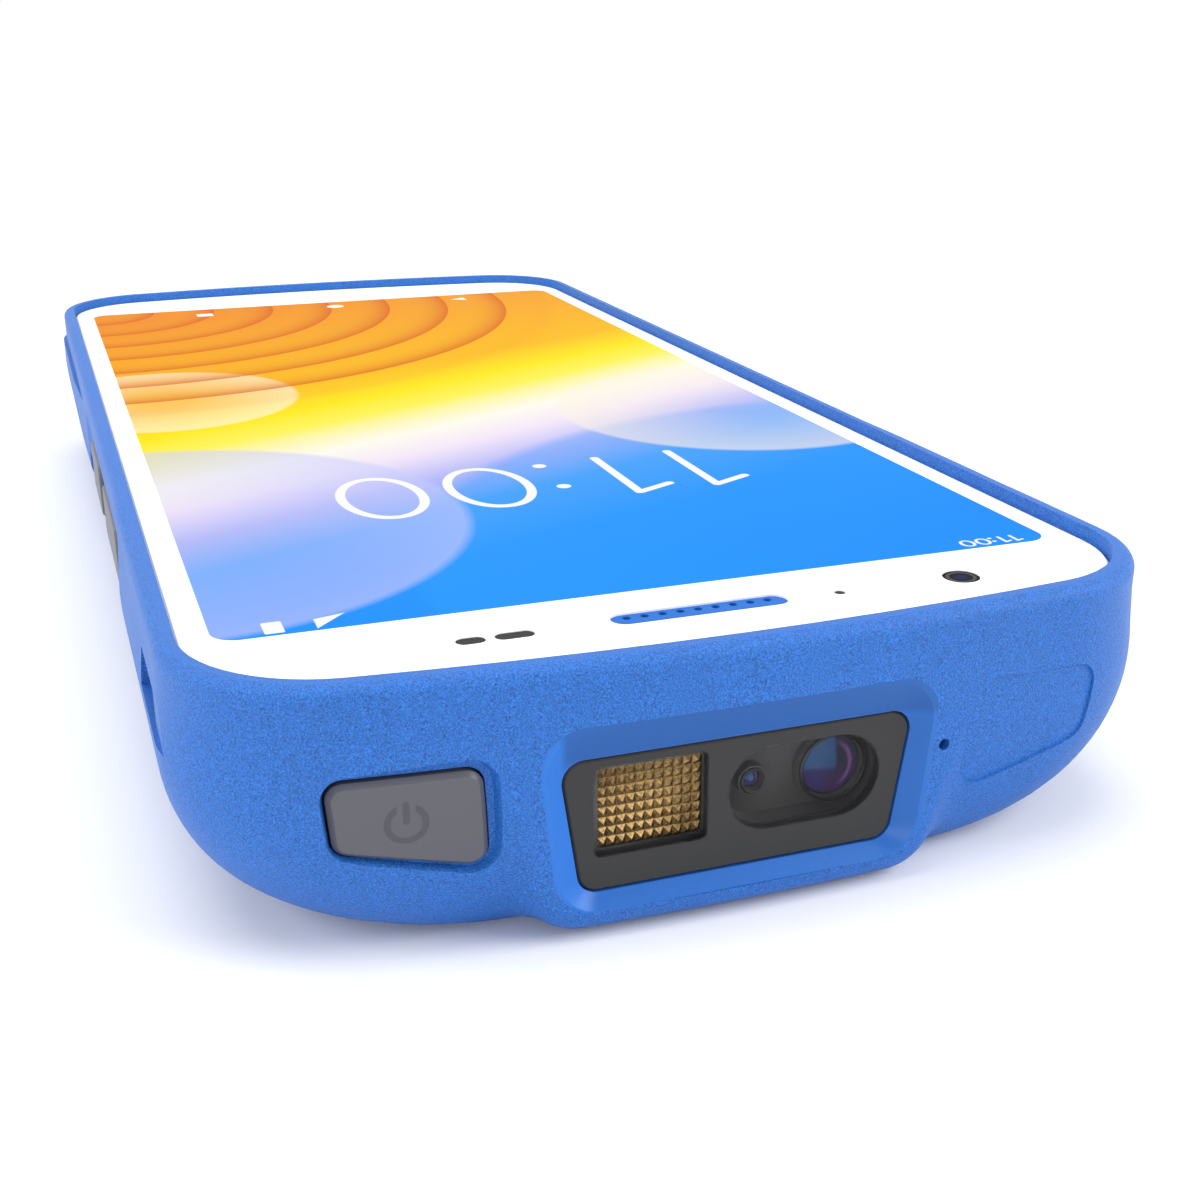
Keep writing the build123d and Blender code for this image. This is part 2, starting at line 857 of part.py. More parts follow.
with BuildPart() as scan_bezel:
    add(upright(bezel_face(0), near_y - 1, lip_y + bezel_lip))
    add(case_outside.part, mode=Mode.INTERSECT)
    with BuildPart(mode=Mode.PRIVATE) as bevel:
        with BuildSketch(Plane.XZ.offset(-(near_y + bevel_start))):
            add(bezel_face(0))
        with BuildSketch(Plane.XZ.offset(-window_y)):
            add(window_face(-slip))
        loft()
        add(upright(bezel_face(0), near_y - 1, near_y + bevel_start))
    add(bevel.part, mode=Mode.SUBTRACT)
    add(upright(window_face(-slip), window_y - 0.2, lip_y), mode=Mode.SUBTRACT)
    add(upright(window_face(gasket_width), lip_y - 1, lip_y + bezel_lip + 1), mode=Mode.SUBTRACT)
save("scan_bezel", scan_bezel)

with BuildPart() as scan_window:
    add(upright(window_face(0), window_y, gasket_y))
    chamfer(scan_window.edges().group_by(Axis.Y)[0], 0.15)
save("scan_window", scan_window)

with BuildPart() as window_gasket:
    add(upright(window_face(0), gasket_y, lip_y))
    add(upright(window_face(gasket_width), gasket_y - 1, lip_y + 1), mode=Mode.SUBTRACT)
save("window_gasket", window_gasket)

mask_thickness = 0.8
recess_y = engine_y + mask_thickness + engine_recess
recess_x = 6.05
recess_length = 12.1


def recess_outline():
    """Dark recess round the two lenses, in the XZ plane."""
    with BuildSketch() as outline:
        with Locations((recess_x, lens_z)):
            SlotOverall(recess_length, recess_height)
    return outline.sketch


def illumination_outline(margin):
    """Opening of the faceted panel, in the XZ plane."""
    with BuildSketch() as outline:
        with Locations((illumination_x, lens_z + 0.3)):
            RectangleRounded(illumination_width + 2 * margin, illumination_height + 2 * margin, 0.4 + margin)
    return outline.sketch


with BuildPart() as scan_engine_body:
    block(
        -engine_width / 2,
        engine_width / 2,
        engine_y + mask_thickness,
        engine_y + engine_depth,
        engine_z - engine_height / 2,
        engine_z + engine_height / 2,
    )
    fillet(scan_engine_body.edges().filter_by(Axis.Y), 0.8)
    add(upright(recess_outline(), engine_y, recess_y), mode=Mode.SUBTRACT)
    add(upright(illumination_outline(0), engine_y, recess_y - 0.3), mode=Mode.SUBTRACT)
save("scan_engine_body", scan_engine_body)

with BuildPart() as engine_face:
    block(
        -engine_width / 2,
        engine_width / 2,
        engine_y,
        engine_y + mask_thickness,
        engine_z - engine_height / 2,
        engine_z + engine_height / 2,
    )
    fillet(engine_face.edges().filter_by(Axis.Y), 0.8)
    add(upright(recess_outline(), engine_y - 1, recess_y), mode=Mode.SUBTRACT)
    add(upright(illumination_outline(slip / 2), engine_y - 1, recess_y), mode=Mode.SUBTRACT)
save("engine_face", engine_face)

facet_columns = 11
facet_rows = 8
facet_depth = 0.35
with BuildPart() as illumination_lens:
    add(upright(illumination_outline(0), engine_y - 0.1, recess_y - 0.3))
    column_pitch = illumination_width / facet_columns
    row_pitch = illumination_height / facet_rows
    with BuildSketch(Plane.XY.offset(lens_z - illumination_height)):
        with Locations((illumination_x, engine_y - 0.1)):
            with GridLocations(column_pitch, 1, facet_columns + 1, 1):
                Polygon((-column_pitch / 2, 0), (column_pitch / 2, 0), (0, facet_depth), align=None)
    extrude(amount=2 * illumination_height, mode=Mode.SUBTRACT)
    with BuildSketch(Plane.YZ.offset(illumination_x - illumination_width)):
        with Locations((engine_y - 0.1, lens_z + 0.3)):
            with GridLocations(1, row_pitch, 1, facet_rows + 1):
                Polygon((0, -row_pitch / 2), (0, row_pitch / 2), (facet_depth, 0), align=None)
    extrude(amount=2 * illumination_width, mode=Mode.SUBTRACT)
save("illumination_lens", illumination_lens)

lens_places = ((aiming_x, aiming_radius, 0.2), (imaging_x, imaging_radius, 0.5))
with BuildPart() as lens_barrels:
    for x, radius, step in lens_places:
        with Locations(Plane.XZ.offset(-recess_y) * Pos(x, lens_z)):
            Cylinder(
                radius + barrel_wall,
                engine_recess - step,
                align=(Align.CENTER, Align.CENTER, Align.MIN),
            )
            Cylinder(radius, 4, mode=Mode.SUBTRACT)
save("lens_barrels", lens_barrels)

for (x, radius, step), name in zip(lens_places, ("aiming_lens", "imaging_lens")):
    with BuildPart() as lens:
        with Locations(Plane.XZ.offset(-recess_y) * Pos(x, lens_z)):
            Cylinder(radius, 0.4, align=(Align.CENTER, Align.CENTER, Align.MIN))
            with Locations((0, 0, 0.6 - 2 * radius)):
                Sphere(2 * radius)
        with Locations(Plane.XZ.offset(-recess_y) * Pos(x, lens_z)):
            Cylinder(radius, 2.4, align=(Align.CENTER, Align.CENTER, Align.MIN), mode=Mode.INTERSECT)
    save(name, lens)

with BuildPart() as engine_bracket:
    block(
        -engine_width / 2,
        engine_width / 2,
        engine_y + 1,
        engine_y + engine_depth + 2,
        engine_top,
        bracket_top,
    )
    block(-bracket_ear, bracket_ear, ear_y - 2.2, ear_y + 2.2, engine_top, bracket_top)
    block(
        -engine_width / 2,
        engine_width / 2,
        engine_y + engine_depth,
        engine_y + engine_depth + 1.2,
        engine_z - 2,
        engine_top,
    )
    fillet(engine_bracket.edges().filter_by(Axis.Z).group_by(Axis.X)[0], 1.5)
    fillet(engine_bracket.edges().filter_by(Axis.Z).group_by(Axis.X)[-1], 1.5)
    for side in (-1, 1):
        post(
            side * ear_x,
            ear_y,
            board_screw_radius + screw_fit,
            engine_top - 1,
            bracket_top + 1,
            Mode.SUBTRACT,
        )
save("engine_bracket", engine_bracket)


def screw_from_below(x, y, seat, tip, shank, head, head_height, socket):
    """Screw driven upwards, its head against a seat, in the part that is being built."""
    post(x, y, head, seat - head_height, seat)
    post(x, y, shank, seat, tip)
    with BuildSketch(Plane.XY.offset(seat - head_height)) as cross:
        with Locations((x, y)):
            Rectangle(socket, 0.3 * socket)
            Rectangle(0.3 * socket, socket)
    extrude(cross.sketch, amount=0.5 * head_height, mode=Mode.SUBTRACT)


with BuildPart() as engine_screws:
    for side in (-1, 1):
        screw_from_below(
            side * ear_x, ear_y, engine_top, frame_foot + 0.3, board_screw_radius, board_screw_head, 0.8, 1.6
        )
save("engine_screws", engine_screws)

# ---------------------------------------------------------------- keys

inner_limits = hull(case_wall + 0.05, head_floor, frame_z)
key_rest_y = tab_y - 2.6    # front of the power key's flange
with BuildPart() as power_key:
    add(upright(power_face(0), near_y - 1, key_rest_y + 0.4))
    add(hull(key_sink, 0, rim_z), mode=Mode.INTERSECT)
    chamfer(power_key.edges().group_by(Axis.Y)[0], 0.35)
    with BuildPart(mode=Mode.PRIVATE) as ears:
        add(upright(power_face(flange), key_rest_y, key_rest_y + 0.8))
        add(inner_limits, mode=Mode.INTERSECT)
    add(ears.part)
save("power_key", power_key)

switch_y = key_rest_y + 0.8 + key_travel + dome_gap
with BuildPart() as power_switch:
    switch_x = power_x
    switch_z = below(power_top + power_inner_height / 2)
    block(switch_x - 2.2, switch_x + 2.2, switch_y + 0.5, tab_y, switch_z - 1.8, switch_z + 1.8)
    with Locations(Plane.XZ.offset(-(switch_y + 0.5)) * Pos(switch_x, switch_z)):
        Cylinder(1.0, 0.5, align=(Align.CENTER, Align.CENTER, Align.MIN))
save("power_switch", power_switch)

for name, (side, middle, length) in side_key_places.items():
    with BuildPart() as side_key:
        add(side_bar(side, flange_x - flange, key_face_x, middle, length, key_z, key_height, 1.2))
        fillet(side_key.faces().sort_by(Axis.X)[0 if side < 0 else -1].edges(), 0.45)
        if name == "volume_key":
            with Locations((side * axle_x, middle, key_z)):
                Cylinder(rocker_axle, key_height + 2 * axle_length)
        else:
            flange_z = key_z + (flange_head - flange_foot) / 2
            flange_tall = flange_head + flange_foot
            with BuildPart(mode=Mode.PRIVATE) as ears:
                add(
                    side_bar(
                        side,
                        flange_x - flange,
                        wall_x,
                        middle,
                        length + 2 * flange,
                        flange_z,
                        flange_tall,
                        1.6,
                    )
                )
                add(inner_limits, mode=Mode.INTERSECT)
            add(ears.part)
    save(name, side_key)

for name, side, places in (
    ("right_key_switches", -1, (volume_y - dome_spread, volume_y + dome_spread, scan_y)),
    ("left_key_switches", 1, (volume_y, scan_y)),
):
    with BuildPart() as key_switches:
        for y in places:
            add(side_bar(side, dome_x - dome_height, dome_x - 0.35, y, 3.0, key_z, 3.0, 0.3))
            add(side_bar(side, dome_x - dome_height, dome_x, y, 1.8, key_z, 1.8, 0.85))
    save(name, key_switches)

with BuildPart() as key_flexes:
    for side in (-1, 1):
        x_low, x_high = sorted((side * dome_wall_x, side * (dome_x - dome_height)))
        block(x_low, x_high, key_from, key_to, key_z - 2.4, key_z + 2.0)
save("key_flexes", key_flexes)

# ---------------------------------------------------------------- boards and what they carry

with BuildPart() as main_board:
    with BuildSketch(Plane.XY.offset(board_foot)):
        with Locations((0, (board_near + board_far) / 2)):
            RectangleRounded(2 * board_half_width, board_far - board_near, 1.5)
        with Locations(((wing_from + board_half_width) / 2, (wing_near + board_near + 2) / 2)):
            Rectangle(board_half_width - wing_from, board_near + 2 - wing_near)
    extrude(amount=board_thickness)
    for x, y in main_screws:
        post(x, y, board_screw_radius + screw_fit, board_foot - 1, board_z + 1, Mode.SUBTRACT)
save("main_board", main_board)

shield_places = (
    (-26.5, -6.0, board_near + 6.5, board_near + 22.0),
    (-3.0, 12.5, board_near + 6.5, board_near + 19.0),
    (-22.0, -10.0, board_far - 16.5, board_far - 5.0),
)
with BuildPart() as board_shields:
    for x_low, x_high, y_low, y_high in shield_places:
        block(x_low, x_high, y_low, y_high, board_foot - shield_height, board_foot)
    fillet(board_shields.edges().filter_by(Axis.Z), 0.6)
save("board_shields", board_shields)

module_foot = 7.0
with BuildPart() as rear_camera:
    block(
        rear_camera_x - 4.25,
        rear_camera_x + 4.25,
        rear_camera_y - 4.25,
        rear_camera_y + 4.25,
        module_foot,
        board_foot,
    )
    post(rear_camera_x, rear_camera_y, rear_barrel_radius, rear_window_thickness, module_foot)
    post(
        rear_camera_x,
        rear_camera_y,
        1.4,
        rear_window_thickness - 0.5,
        rear_window_thickness + 0.8,
        Mode.SUBTRACT,
    )
save("rear_camera", rear_camera)

with BuildPart() as rear_camera_window:
    post(rear_camera_x, rear_camera_y, rear_window_radius, 0.1, rear_window_thickness)
    chamfer(rear_camera_window.edges().group_by(Axis.Z)[0], 0.2)
save("rear_camera_window", rear_camera_window)

with BuildPart() as flash_lens:
    post(rear_camera_x, flash_y, flash_radius, 0.1, head_floor)
    post(rear_camera_x, flash_y, 1.6, head_floor, board_foot)
save("flash_lens", flash_lens)

with BuildPart() as io_board:
    with BuildSketch(Plane.XY.offset(board_foot)):
        with Locations((0, (io_near + io_far) / 2)):
            RectangleRounded(2 * io_half_width, io_far - io_near, 1.5)
    extrude(amount=board_thickness)
    for x, y in io_screws:
        post(x, y, board_screw_radius + screw_fit, board_foot - 1, board_z + 1, Mode.SUBTRACT)
save("io_board", io_board)

with BuildPart() as board_screws:
    for x, y in main_screws + io_screws:
        screw_from_below(
            x,
            y,
            board_foot,
            board_z + 1.4,
            board_screw_radius,
            board_screw_head,
            board_screw_head_height,
            1.6,
        )
save("board_screws", board_screws)

usb_mouth = far_y - usb_sink
with BuildPart() as usb_socket:
    with BuildSketch(Plane.XZ.offset(-(usb_mouth - usb_length))):
        with Locations((0, usb_z)):
            SlotOverall(usb_width, usb_height)
    extrude(amount=-usb_length)
    with BuildSketch(Plane.XZ.offset(-(usb_mouth - usb_length + 1.2))):
        with Locations((0, usb_z)):
            SlotOverall(usb_width - 0.6, usb_height - 0.6)
    extrude(amount=-usb_length, mode=Mode.SUBTRACT)
save("usb_socket", usb_socket)

with BuildPart() as usb_tongue:
    block(-3.35, 3.35, usb_mouth - usb_length + 1.2, usb_mouth - 0.7, usb_z - 0.35, usb_z + 0.35)
save("usb_tongue", usb_tongue)

speaker_far = io_far - 0.5
speaker_half = 6.5
with BuildPart() as loudspeaker:
    block(speaker_x - speaker_half, speaker_x + speaker_half, io_near + 5.5, speaker_far, 8.0, board_foot)
    fillet(loudspeaker.edges().filter_by(Axis.Z), 1.0)
save("loudspeaker", loudspeaker)

with BuildPart() as speaker_mesh:
    block(speaker_x - 6, speaker_x + 6, speaker_far, speaker_far + 1.4, speaker_z - 1.3, speaker_z + 1.3)
    block(
        speaker_x - 5,
        speaker_x + 5,
        speaker_far - 1,
        speaker_far + 1.0,
        speaker_z - 0.8,
        speaker_z + 0.8,
        Mode.SUBTRACT,
    )
    with Locations(Plane.XZ.offset(-speaker_far) * Pos(speaker_x, speaker_z)):
        with GridLocations(1.0, 0.8, 9, 2):
            Cylinder(0.28, 5, mode=Mode.SUBTRACT)
save("speaker_mesh", speaker_mesh)

microphone_back = case_length / 2 - case_wall - 2.2
with BuildPart() as microphones:
    for end, x, height in ((-1, microphone_x, microphone_z), (1, far_microphone_x, speaker_z)):
        y_low, y_high = sorted((end * microphone_back, end * (microphone_back + 3)))
        block(x - 0.5, x + 2.1, y_low, y_high, height - 1.1, height + 1.1)
    add(hull(case_wall, head_floor, frame_z), mode=Mode.INTERSECT)
save("microphones", microphones)

motor_x, motor_y = 17.0, far_y - 12.5
with BuildPart() as vibration_motor:
    post(motor_x, motor_y, 4.0, board_foot - 2.7, board_foot)
    fillet(vibration_motor.edges().group_by(Axis.Z)[0], 0.5)
save("vibration_motor", vibration_motor)

flex_x = (27.5, 31.5)
flex_foot = frame_foot - 0.2
with BuildPart() as interconnect_flex:
    block(*flex_x, board_far - 6.5, io_near + 10, flex_foot, frame_foot)
    block(io_half_width - 6, flex_x[1], io_near + 6, io_near + 10, flex_foot, frame_foot)
save("interconnect_flex", interconnect_flex)

with BuildPart() as flex_connectors:
    block(*flex_x, board_far - 6, board_far - 2, board_z, flex_foot)
    block(io_half_width - 6, io_half_width - 0.5, io_near + 6, io_near + 10, board_z, flex_foot)
save("flex_connectors", flex_connectors)

with BuildPart() as radio_antennas:
    for side in (-1, 1):
        x_low, x_high = sorted((side * 27, side * 34))
        block(x_low, x_high, brow_y, wing_near - 0.8, frame_foot - 1.6, frame_foot)
save("radio_antennas", radio_antennas)

# ---------------------------------------------------------------- rear cover and battery

pack_far = pack_near + pack_length
tub_half = pack_width / 2 + pack_margin
tub_near = pack_near - pack_margin
tub_far = pack_far + pack_margin
lid_half = pack_width / 2 + lid_side_border
lid_near = pack_near - lid_end_border
lid_far = pack_far + lid_end_border
opening_half = lid_half + slip
ring_half = opening_half + tub_flange
ring_near = lid_near - slip - tub_flange
ring_far = lid_far + slip + tub_flange
ring_top = cover_z + tub_flange_height
terminal_half = 8.0
terminal_z = (7.9, 11.4)
contact_pitch = 3.6
contact_size = (2.2, 3.4)
contact_y = cover_to - 6.5
contact_count = 6
rail_inner = latch_width / 2 + slip
tongue_y = pack_near + latch_bite
with BuildPart() as rear_cover:
    add(rounded_plate(cover_half, cover_from, cover_to, cover_corner, back_z, cover_z))
    add(rounded_plate(ring_half, ring_near, ring_far, 3.0, cover_z, ring_top))
    block(
        -tub_half - tub_wall,
        tub_half + tub_wall,
        tub_near - tub_wall,
        tub_far + tub_wall,
        ring_top,
        tub_z + tub_roof,
    )
    block(-tub_half, tub_half, tub_near, tub_far, back_z - 1, tub_z, mode=Mode.SUBTRACT)
    add(
        rounded_plate(opening_half, lid_near - slip, lid_far + slip, 2.5 + slip, back_z - 1, cover_z),
        mode=Mode.SUBTRACT,
    )
    # Window for the battery contacts
    block(
        -terminal_half - 0.2,
        terminal_half + 0.2,
        tub_near - 2 * tub_wall,
        tub_near + 1,
        terminal_z[0] - 0.2,
        terminal_z[1] + 0.2,
        mode=Mode.SUBTRACT,
    )
    for side in (-1, 1):
        middle = side * latch_x
        # Rails that hold a latch, its path through the ledge and the slot for its button
        for edge in (-1, 1):
            foot = sorted((middle + edge * rail_inner, middle + edge * (rail_inner + 1)))
            lip = sorted((middle + edge * (rail_inner - 0.7), middle + edge * (rail_inner + 1)))
            block(*foot, latch_from - 1, ring_near + 0.5, cover_z, cover_z + 1.8)
            block(*lip, latch_from - 1, ring_near + 0.5, cover_z + 1.1, cover_z + 1.8)
        block(
            middle - rail_inner,
            middle + rail_inner,
            ring_near - 1,
            tub_near + 1,
            cover_z,
            cover_z + 1.1,
            mode=Mode.SUBTRACT,
        )
        block(
            middle - button_width / 2 - key_gap,
            middle + button_width / 2 + key_gap,
            button_from - latch_travel - key_gap,
            button_from + button_length + key_gap,
            back_z - 1,
            cover_z + 1,
            mode=Mode.SUBTRACT,
        )
    for x, y in screw_places:
        post(x, y, screw_radius + screw_fit, back_z - 1, cover_z + 1, Mode.SUBTRACT)
        post(
            x,
            y,
            screw_head_radius + screw_fit,
            back_z - 1,
            back_z + screw_head_height + 0.1,
            Mode.SUBTRACT,
        )
    with Locations((0, contact_y, back_z)):
        with GridLocations(contact_pitch, 1, contact_count, 1):
            Box(contact_size[0], contact_size[1], 8, mode=Mode.SUBTRACT)
save("rear_cover", rear_cover)

with BuildPart() as cover_seal:
    add(rounded_plate(cover_half, cover_from, cover_to, cover_corner, cover_z, seal_z))
    add(
        rounded_plate(
            cover_half - cover_ledge_width,
            cover_from + cover_ledge_width,
            cover_to - cover_ledge_width,
            cover_corner - cover_ledge_width,
            cover_z - 1,
            seal_z + 1,
        ),
        mode=Mode.SUBTRACT,
    )
    for x, y in screw_places:
        post(x, y, screw_radius + 0.3, cover_z - 1, seal_z + 1, Mode.SUBTRACT)
save("cover_seal", cover_seal)

with BuildPart() as housing_screws:
    for x, y in screw_places:
        screw_from_below(
            x,
            y,
            back_z + screw_head_height + 0.1,
            seal_z + boss_height - 0.5,
            screw_radius,
            screw_head_radius,
            screw_head_height,
            2.2,
        )
save("housing_screws", housing_screws)

with BuildPart() as charging_contacts:
    with Locations((0, contact_y, (back_z + cover_z) / 2)):
        with GridLocations(contact_pitch, 1, contact_count, 1):
            Box(contact_size[0], contact_size[1], cover_thickness)
    with Locations((0, contact_y, cover_z + 0.3)):
        with GridLocations(contact_pitch, 1, contact_count, 1):
            Box(contact_size[0] + 0.8, contact_size[1] + 0.8, 0.6)
save("charging_contacts", charging_contacts)

with BuildPart() as nfc_antenna:
    add(rounded_plate(20, tub_near + 8, tub_far - 8, 4, tub_z + tub_roof, tub_z + tub_roof + 0.2))
    add(
        rounded_plate(17, tub_near + 11, tub_far - 11, 2, tub_z, tub_z + tub_roof + 1),
        mode=Mode.SUBTRACT,
    )
save("nfc_antenna", nfc_antenna)

with BuildPart() as battery_cover:
    add(rounded_plate(lid_half, lid_near, lid_far, 2.5, back_z, cover_z))
    with BuildSketch(Plane.XY.offset(back_z)):
        with Locations((0, lid_far - 6)):
            with GridLocations(1, 1.6, 1, 4):
                SlotOverall(16, 0.7)
    extrude(amount=0.4, mode=Mode.SUBTRACT)
save("battery_cover", battery_cover)

with BuildPart() as battery_pack:
    block(-pack_width / 2, pack_width / 2, pack_near, pack_far, cover_z, pack_top)
    fillet(battery_pack.edges().filter_by(Axis.Y), 1.0)
    block(-6.5, 6.5, pack_near - 1, pack_near + 0.5, terminal_z[0], terminal_z[1], mode=Mode.SUBTRACT)
    for side in (-1, 1):
        block(
            side * latch_x - rail_inner,
            side * latch_x + rail_inner,
            pack_near - 1,
            pack_near + latch_bite + slip,
            cover_z,
            pack_top + 1,
            mode=Mode.SUBTRACT,
        )
save("battery_pack", battery_pack)

with BuildPart() as battery_terminal:
    block(-terminal_half, terminal_half, board_far - 5.5, board_far - 0.3, terminal_z[0], board_foot)
    fillet(battery_terminal.edges().filter_by(Axis.Z), 0.5)
save("battery_terminal", battery_terminal)

with BuildPart() as battery_contacts:
    blade_root = board_far - 0.3
    blade_tip = pack_near - 0.15
    with Locations((0, (blade_root + blade_tip) / 2, sum(terminal_z) / 2)):
        with GridLocations(3.2, 1, 4, 1):
            Box(1.2, blade_tip - blade_root, 2.2)
save("battery_contacts", battery_contacts)

for side, name in ((-1, "battery_latch_right"), (1, "battery_latch_left")):
    middle = side * latch_x
    with BuildPart() as latch:
        block(
            middle - latch_width / 2,
            middle + latch_width / 2,
            latch_from,
            tongue_y,
            cover_z + 0.05,
            cover_z + 0.05 + latch_height,
        )
        chamfer(latch.edges().filter_by(Axis.X).group_by(Axis.Y)[-1].group_by(Axis.Z)[-1], 0.4)
        block(
            middle - button_width / 2,
            middle + button_width / 2,
            button_from,
            button_from + button_length,
            back_z + button_sink,
            cover_z + 0.05,
        )
        for step in range(3):
            block(
                middle - button_width / 2,
                middle + button_width / 2,
                button_from + 0.8 + 0.9 * step,
                button_from + 1.3 + 0.9 * step,
                back_z,
                back_z + button_sink + 0.3,
                Mode.SUBTRACT,
            )
    save(name, latch)
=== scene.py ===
"""Looks of the handheld barcode terminal: finishes, lenses, screen picture and a studio stage."""

from math import pi, radians

import bmesh
import bpy
from bpy.props import FloatProperty, FloatVectorProperty, IntProperty, PointerProperty
from mathutils import Matrix, Vector


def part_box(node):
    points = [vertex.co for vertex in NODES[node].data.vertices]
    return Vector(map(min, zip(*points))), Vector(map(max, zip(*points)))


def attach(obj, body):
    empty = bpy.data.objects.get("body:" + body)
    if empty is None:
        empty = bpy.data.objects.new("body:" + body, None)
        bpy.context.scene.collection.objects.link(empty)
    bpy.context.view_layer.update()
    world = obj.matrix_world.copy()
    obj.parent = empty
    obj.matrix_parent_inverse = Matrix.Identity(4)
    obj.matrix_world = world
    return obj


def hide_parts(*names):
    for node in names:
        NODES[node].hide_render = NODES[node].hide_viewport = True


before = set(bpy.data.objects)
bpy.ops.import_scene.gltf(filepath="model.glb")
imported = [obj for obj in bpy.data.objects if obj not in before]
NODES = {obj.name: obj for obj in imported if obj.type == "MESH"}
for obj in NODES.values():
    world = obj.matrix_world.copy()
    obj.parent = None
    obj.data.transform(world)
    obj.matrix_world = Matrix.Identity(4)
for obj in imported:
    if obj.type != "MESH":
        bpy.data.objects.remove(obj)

bl_info = {
    "name": "Barcode Terminal Finishes",
    "version": (1, 0, 0),
    "blender": (4, 5, 0),
    "location": "3D View > Sidebar > Terminal",
    "description": "Moulded, glass and metal finishes for a handheld barcode terminal",
    "category": "Material",
}

MM = 0.001


# ---------------------------------------------------------------- shader maths

class Wire:
    """A socket of one node tree. Python's operators on it add Math nodes."""

    def __init__(self, graph, socket):
        self.graph = graph
        self.socket = socket

    def math(self, operation, *operands):
        return self.graph.node("ShaderNodeMath", {"operation": operation}, dict(enumerate(operands)))

    def other(self, name):
        """Another output of the same node."""
        return Wire(self.graph, self.socket.node.outputs[name])

    def __add__(self, other):
        return self.math("ADD", self, other)

    __radd__ = __add__

    def __sub__(self, other):
        return self.math("SUBTRACT", self, other)

    def __rsub__(self, other):
        return self.math("SUBTRACT", other, self)

    def __mul__(self, other):
        return self.math("MULTIPLY", self, other)

    __rmul__ = __mul__

    def __truediv__(self, other):
        return self.math("DIVIDE", self, other)

    def __pow__(self, other):
        return self.math("POWER", self, other)

    def __abs__(self):
        return self.math("ABSOLUTE", self)

    def least(self, other):
        return self.math("MINIMUM", self, other)

    def most(self, other):
        return self.math("MAXIMUM", self, other)

    def wave(self):
        return self.math("SINE", self)

    def fraction(self):
        return self.math("FRACT", self)

    def reach(self, other):
        """Length of the arrow whose sides are this value and another."""
        return (self * self + other * other) ** 0.5


class Graph:
    """An emptied node tree."""

    def __init__(self, owner):
        owner.use_nodes = True
        self.owner = owner
        self.tree = owner.node_tree
        self.tree.nodes.clear()

    def node(self, kind, settings=None, values=None, stops=None, out=0):
        """Adds a node: its settings first, then the values or links of its sockets."""
        made = self.tree.nodes.new(kind)
        for name, value in (settings or {}).items():
            setattr(made, name, value)
        if stops:
            ramp = made.color_ramp.elements
            while len(ramp) < len(stops):
                ramp.new(0.5)
            for element, (position, colour) in zip(ramp, stops):
                element.position = position
                element.color = (*colour, 1)
        for name, value in (values or {}).items():
            if isinstance(value, Wire):
                self.tree.links.new(value.socket, made.inputs[name])
            elif hasattr(value, "__len__") and made.inputs[name].type == "RGBA":
                made.inputs[name].default_value = (*value[:3], 1)
            else:
                made.inputs[name].default_value = value
        return Wire(self, made.outputs[out]) if made.outputs else None

    def fade(self, value, low, high, to_low=0.0, to_high=1.0):
        """Value mapped from low..high to another range and held at its ends."""
        return self.node(
            "ShaderNodeMapRange",
            {"clamp": True},
            {"Value": value, "From Min": low, "From Max": high, "To Min": to_low, "To Max": to_high},
        )


class Finish(Graph):
    """One material and the nodes that give its look."""

    def __init__(self, name):
        super().__init__(bpy.data.materials.new(name))

    def place(self):
        """Object coordinates, in metres."""
        return self.node("ShaderNodeTexCoord", out="Object")

    def axes(self):
        """X, Y and Z in millimetres."""
        values = {0: self.place(), "Scale": 1 / MM}
        scaled = self.node("ShaderNodeVectorMath", {"operation": "SCALE"}, values)
        split = self.node("ShaderNodeSeparateXYZ", values={0: scaled})
        return split, split.other("Y"), split.other("Z")

    def noise(self, size, detail=2.0, where=None):
        """Noise from 0 to 1, with blotches of about this size in millimetres."""
        return self.node(
            "ShaderNodeTexNoise",
            {"noise_dimensions": "3D"},
            {"Vector": where or self.place(), "Scale": 1 / (size * MM), "Detail": detail},
        )

    def blend(self, mask, first, second):
        """First colour where the mask is 0, second where it is 1."""
        values = {0: mask, 6: first, 7: second}
        return self.node("ShaderNodeMix", {"data_type": "RGBA"}, values, out=2)

    def inside(self, distance, soft=0.03):
        """1 inside a shape whose signed distance in millimetres is given."""
        return self.fade(distance, soft, -soft)

    def shaded(self, tint, shade):
        """Colour times a value."""
        return self.node("ShaderNodeVectorMath", {"operation": "SCALE"}, {0: tint, "Scale": shade})

    def bump(self, height, depth, strength=1.0):
        """Normal from a height, where 1 is as high as the depth in millimetres."""
        values = {"Height": height, "Distance": depth * MM, "Strength": strength}
        return self.node("ShaderNodeBump", values=values)

    def surface(self, values):
        """Principled shader as the material's surface."""
        shader = self.node("ShaderNodeBsdfPrincipled", values=values)
        self.node("ShaderNodeOutputMaterial", values={"Surface": shader})
        return self.owner


# ---------------------------------------------------------------- settings

def colour(name, default, description):
    return FloatVectorProperty(
        name=name, description=description, default=default, subtype="COLOR", size=3, min=0, max=1
    )


def power(name, default, description):
    return FloatProperty(
        name=name, description=description, default=default, min=0, max=100, unit="POWER"
    )


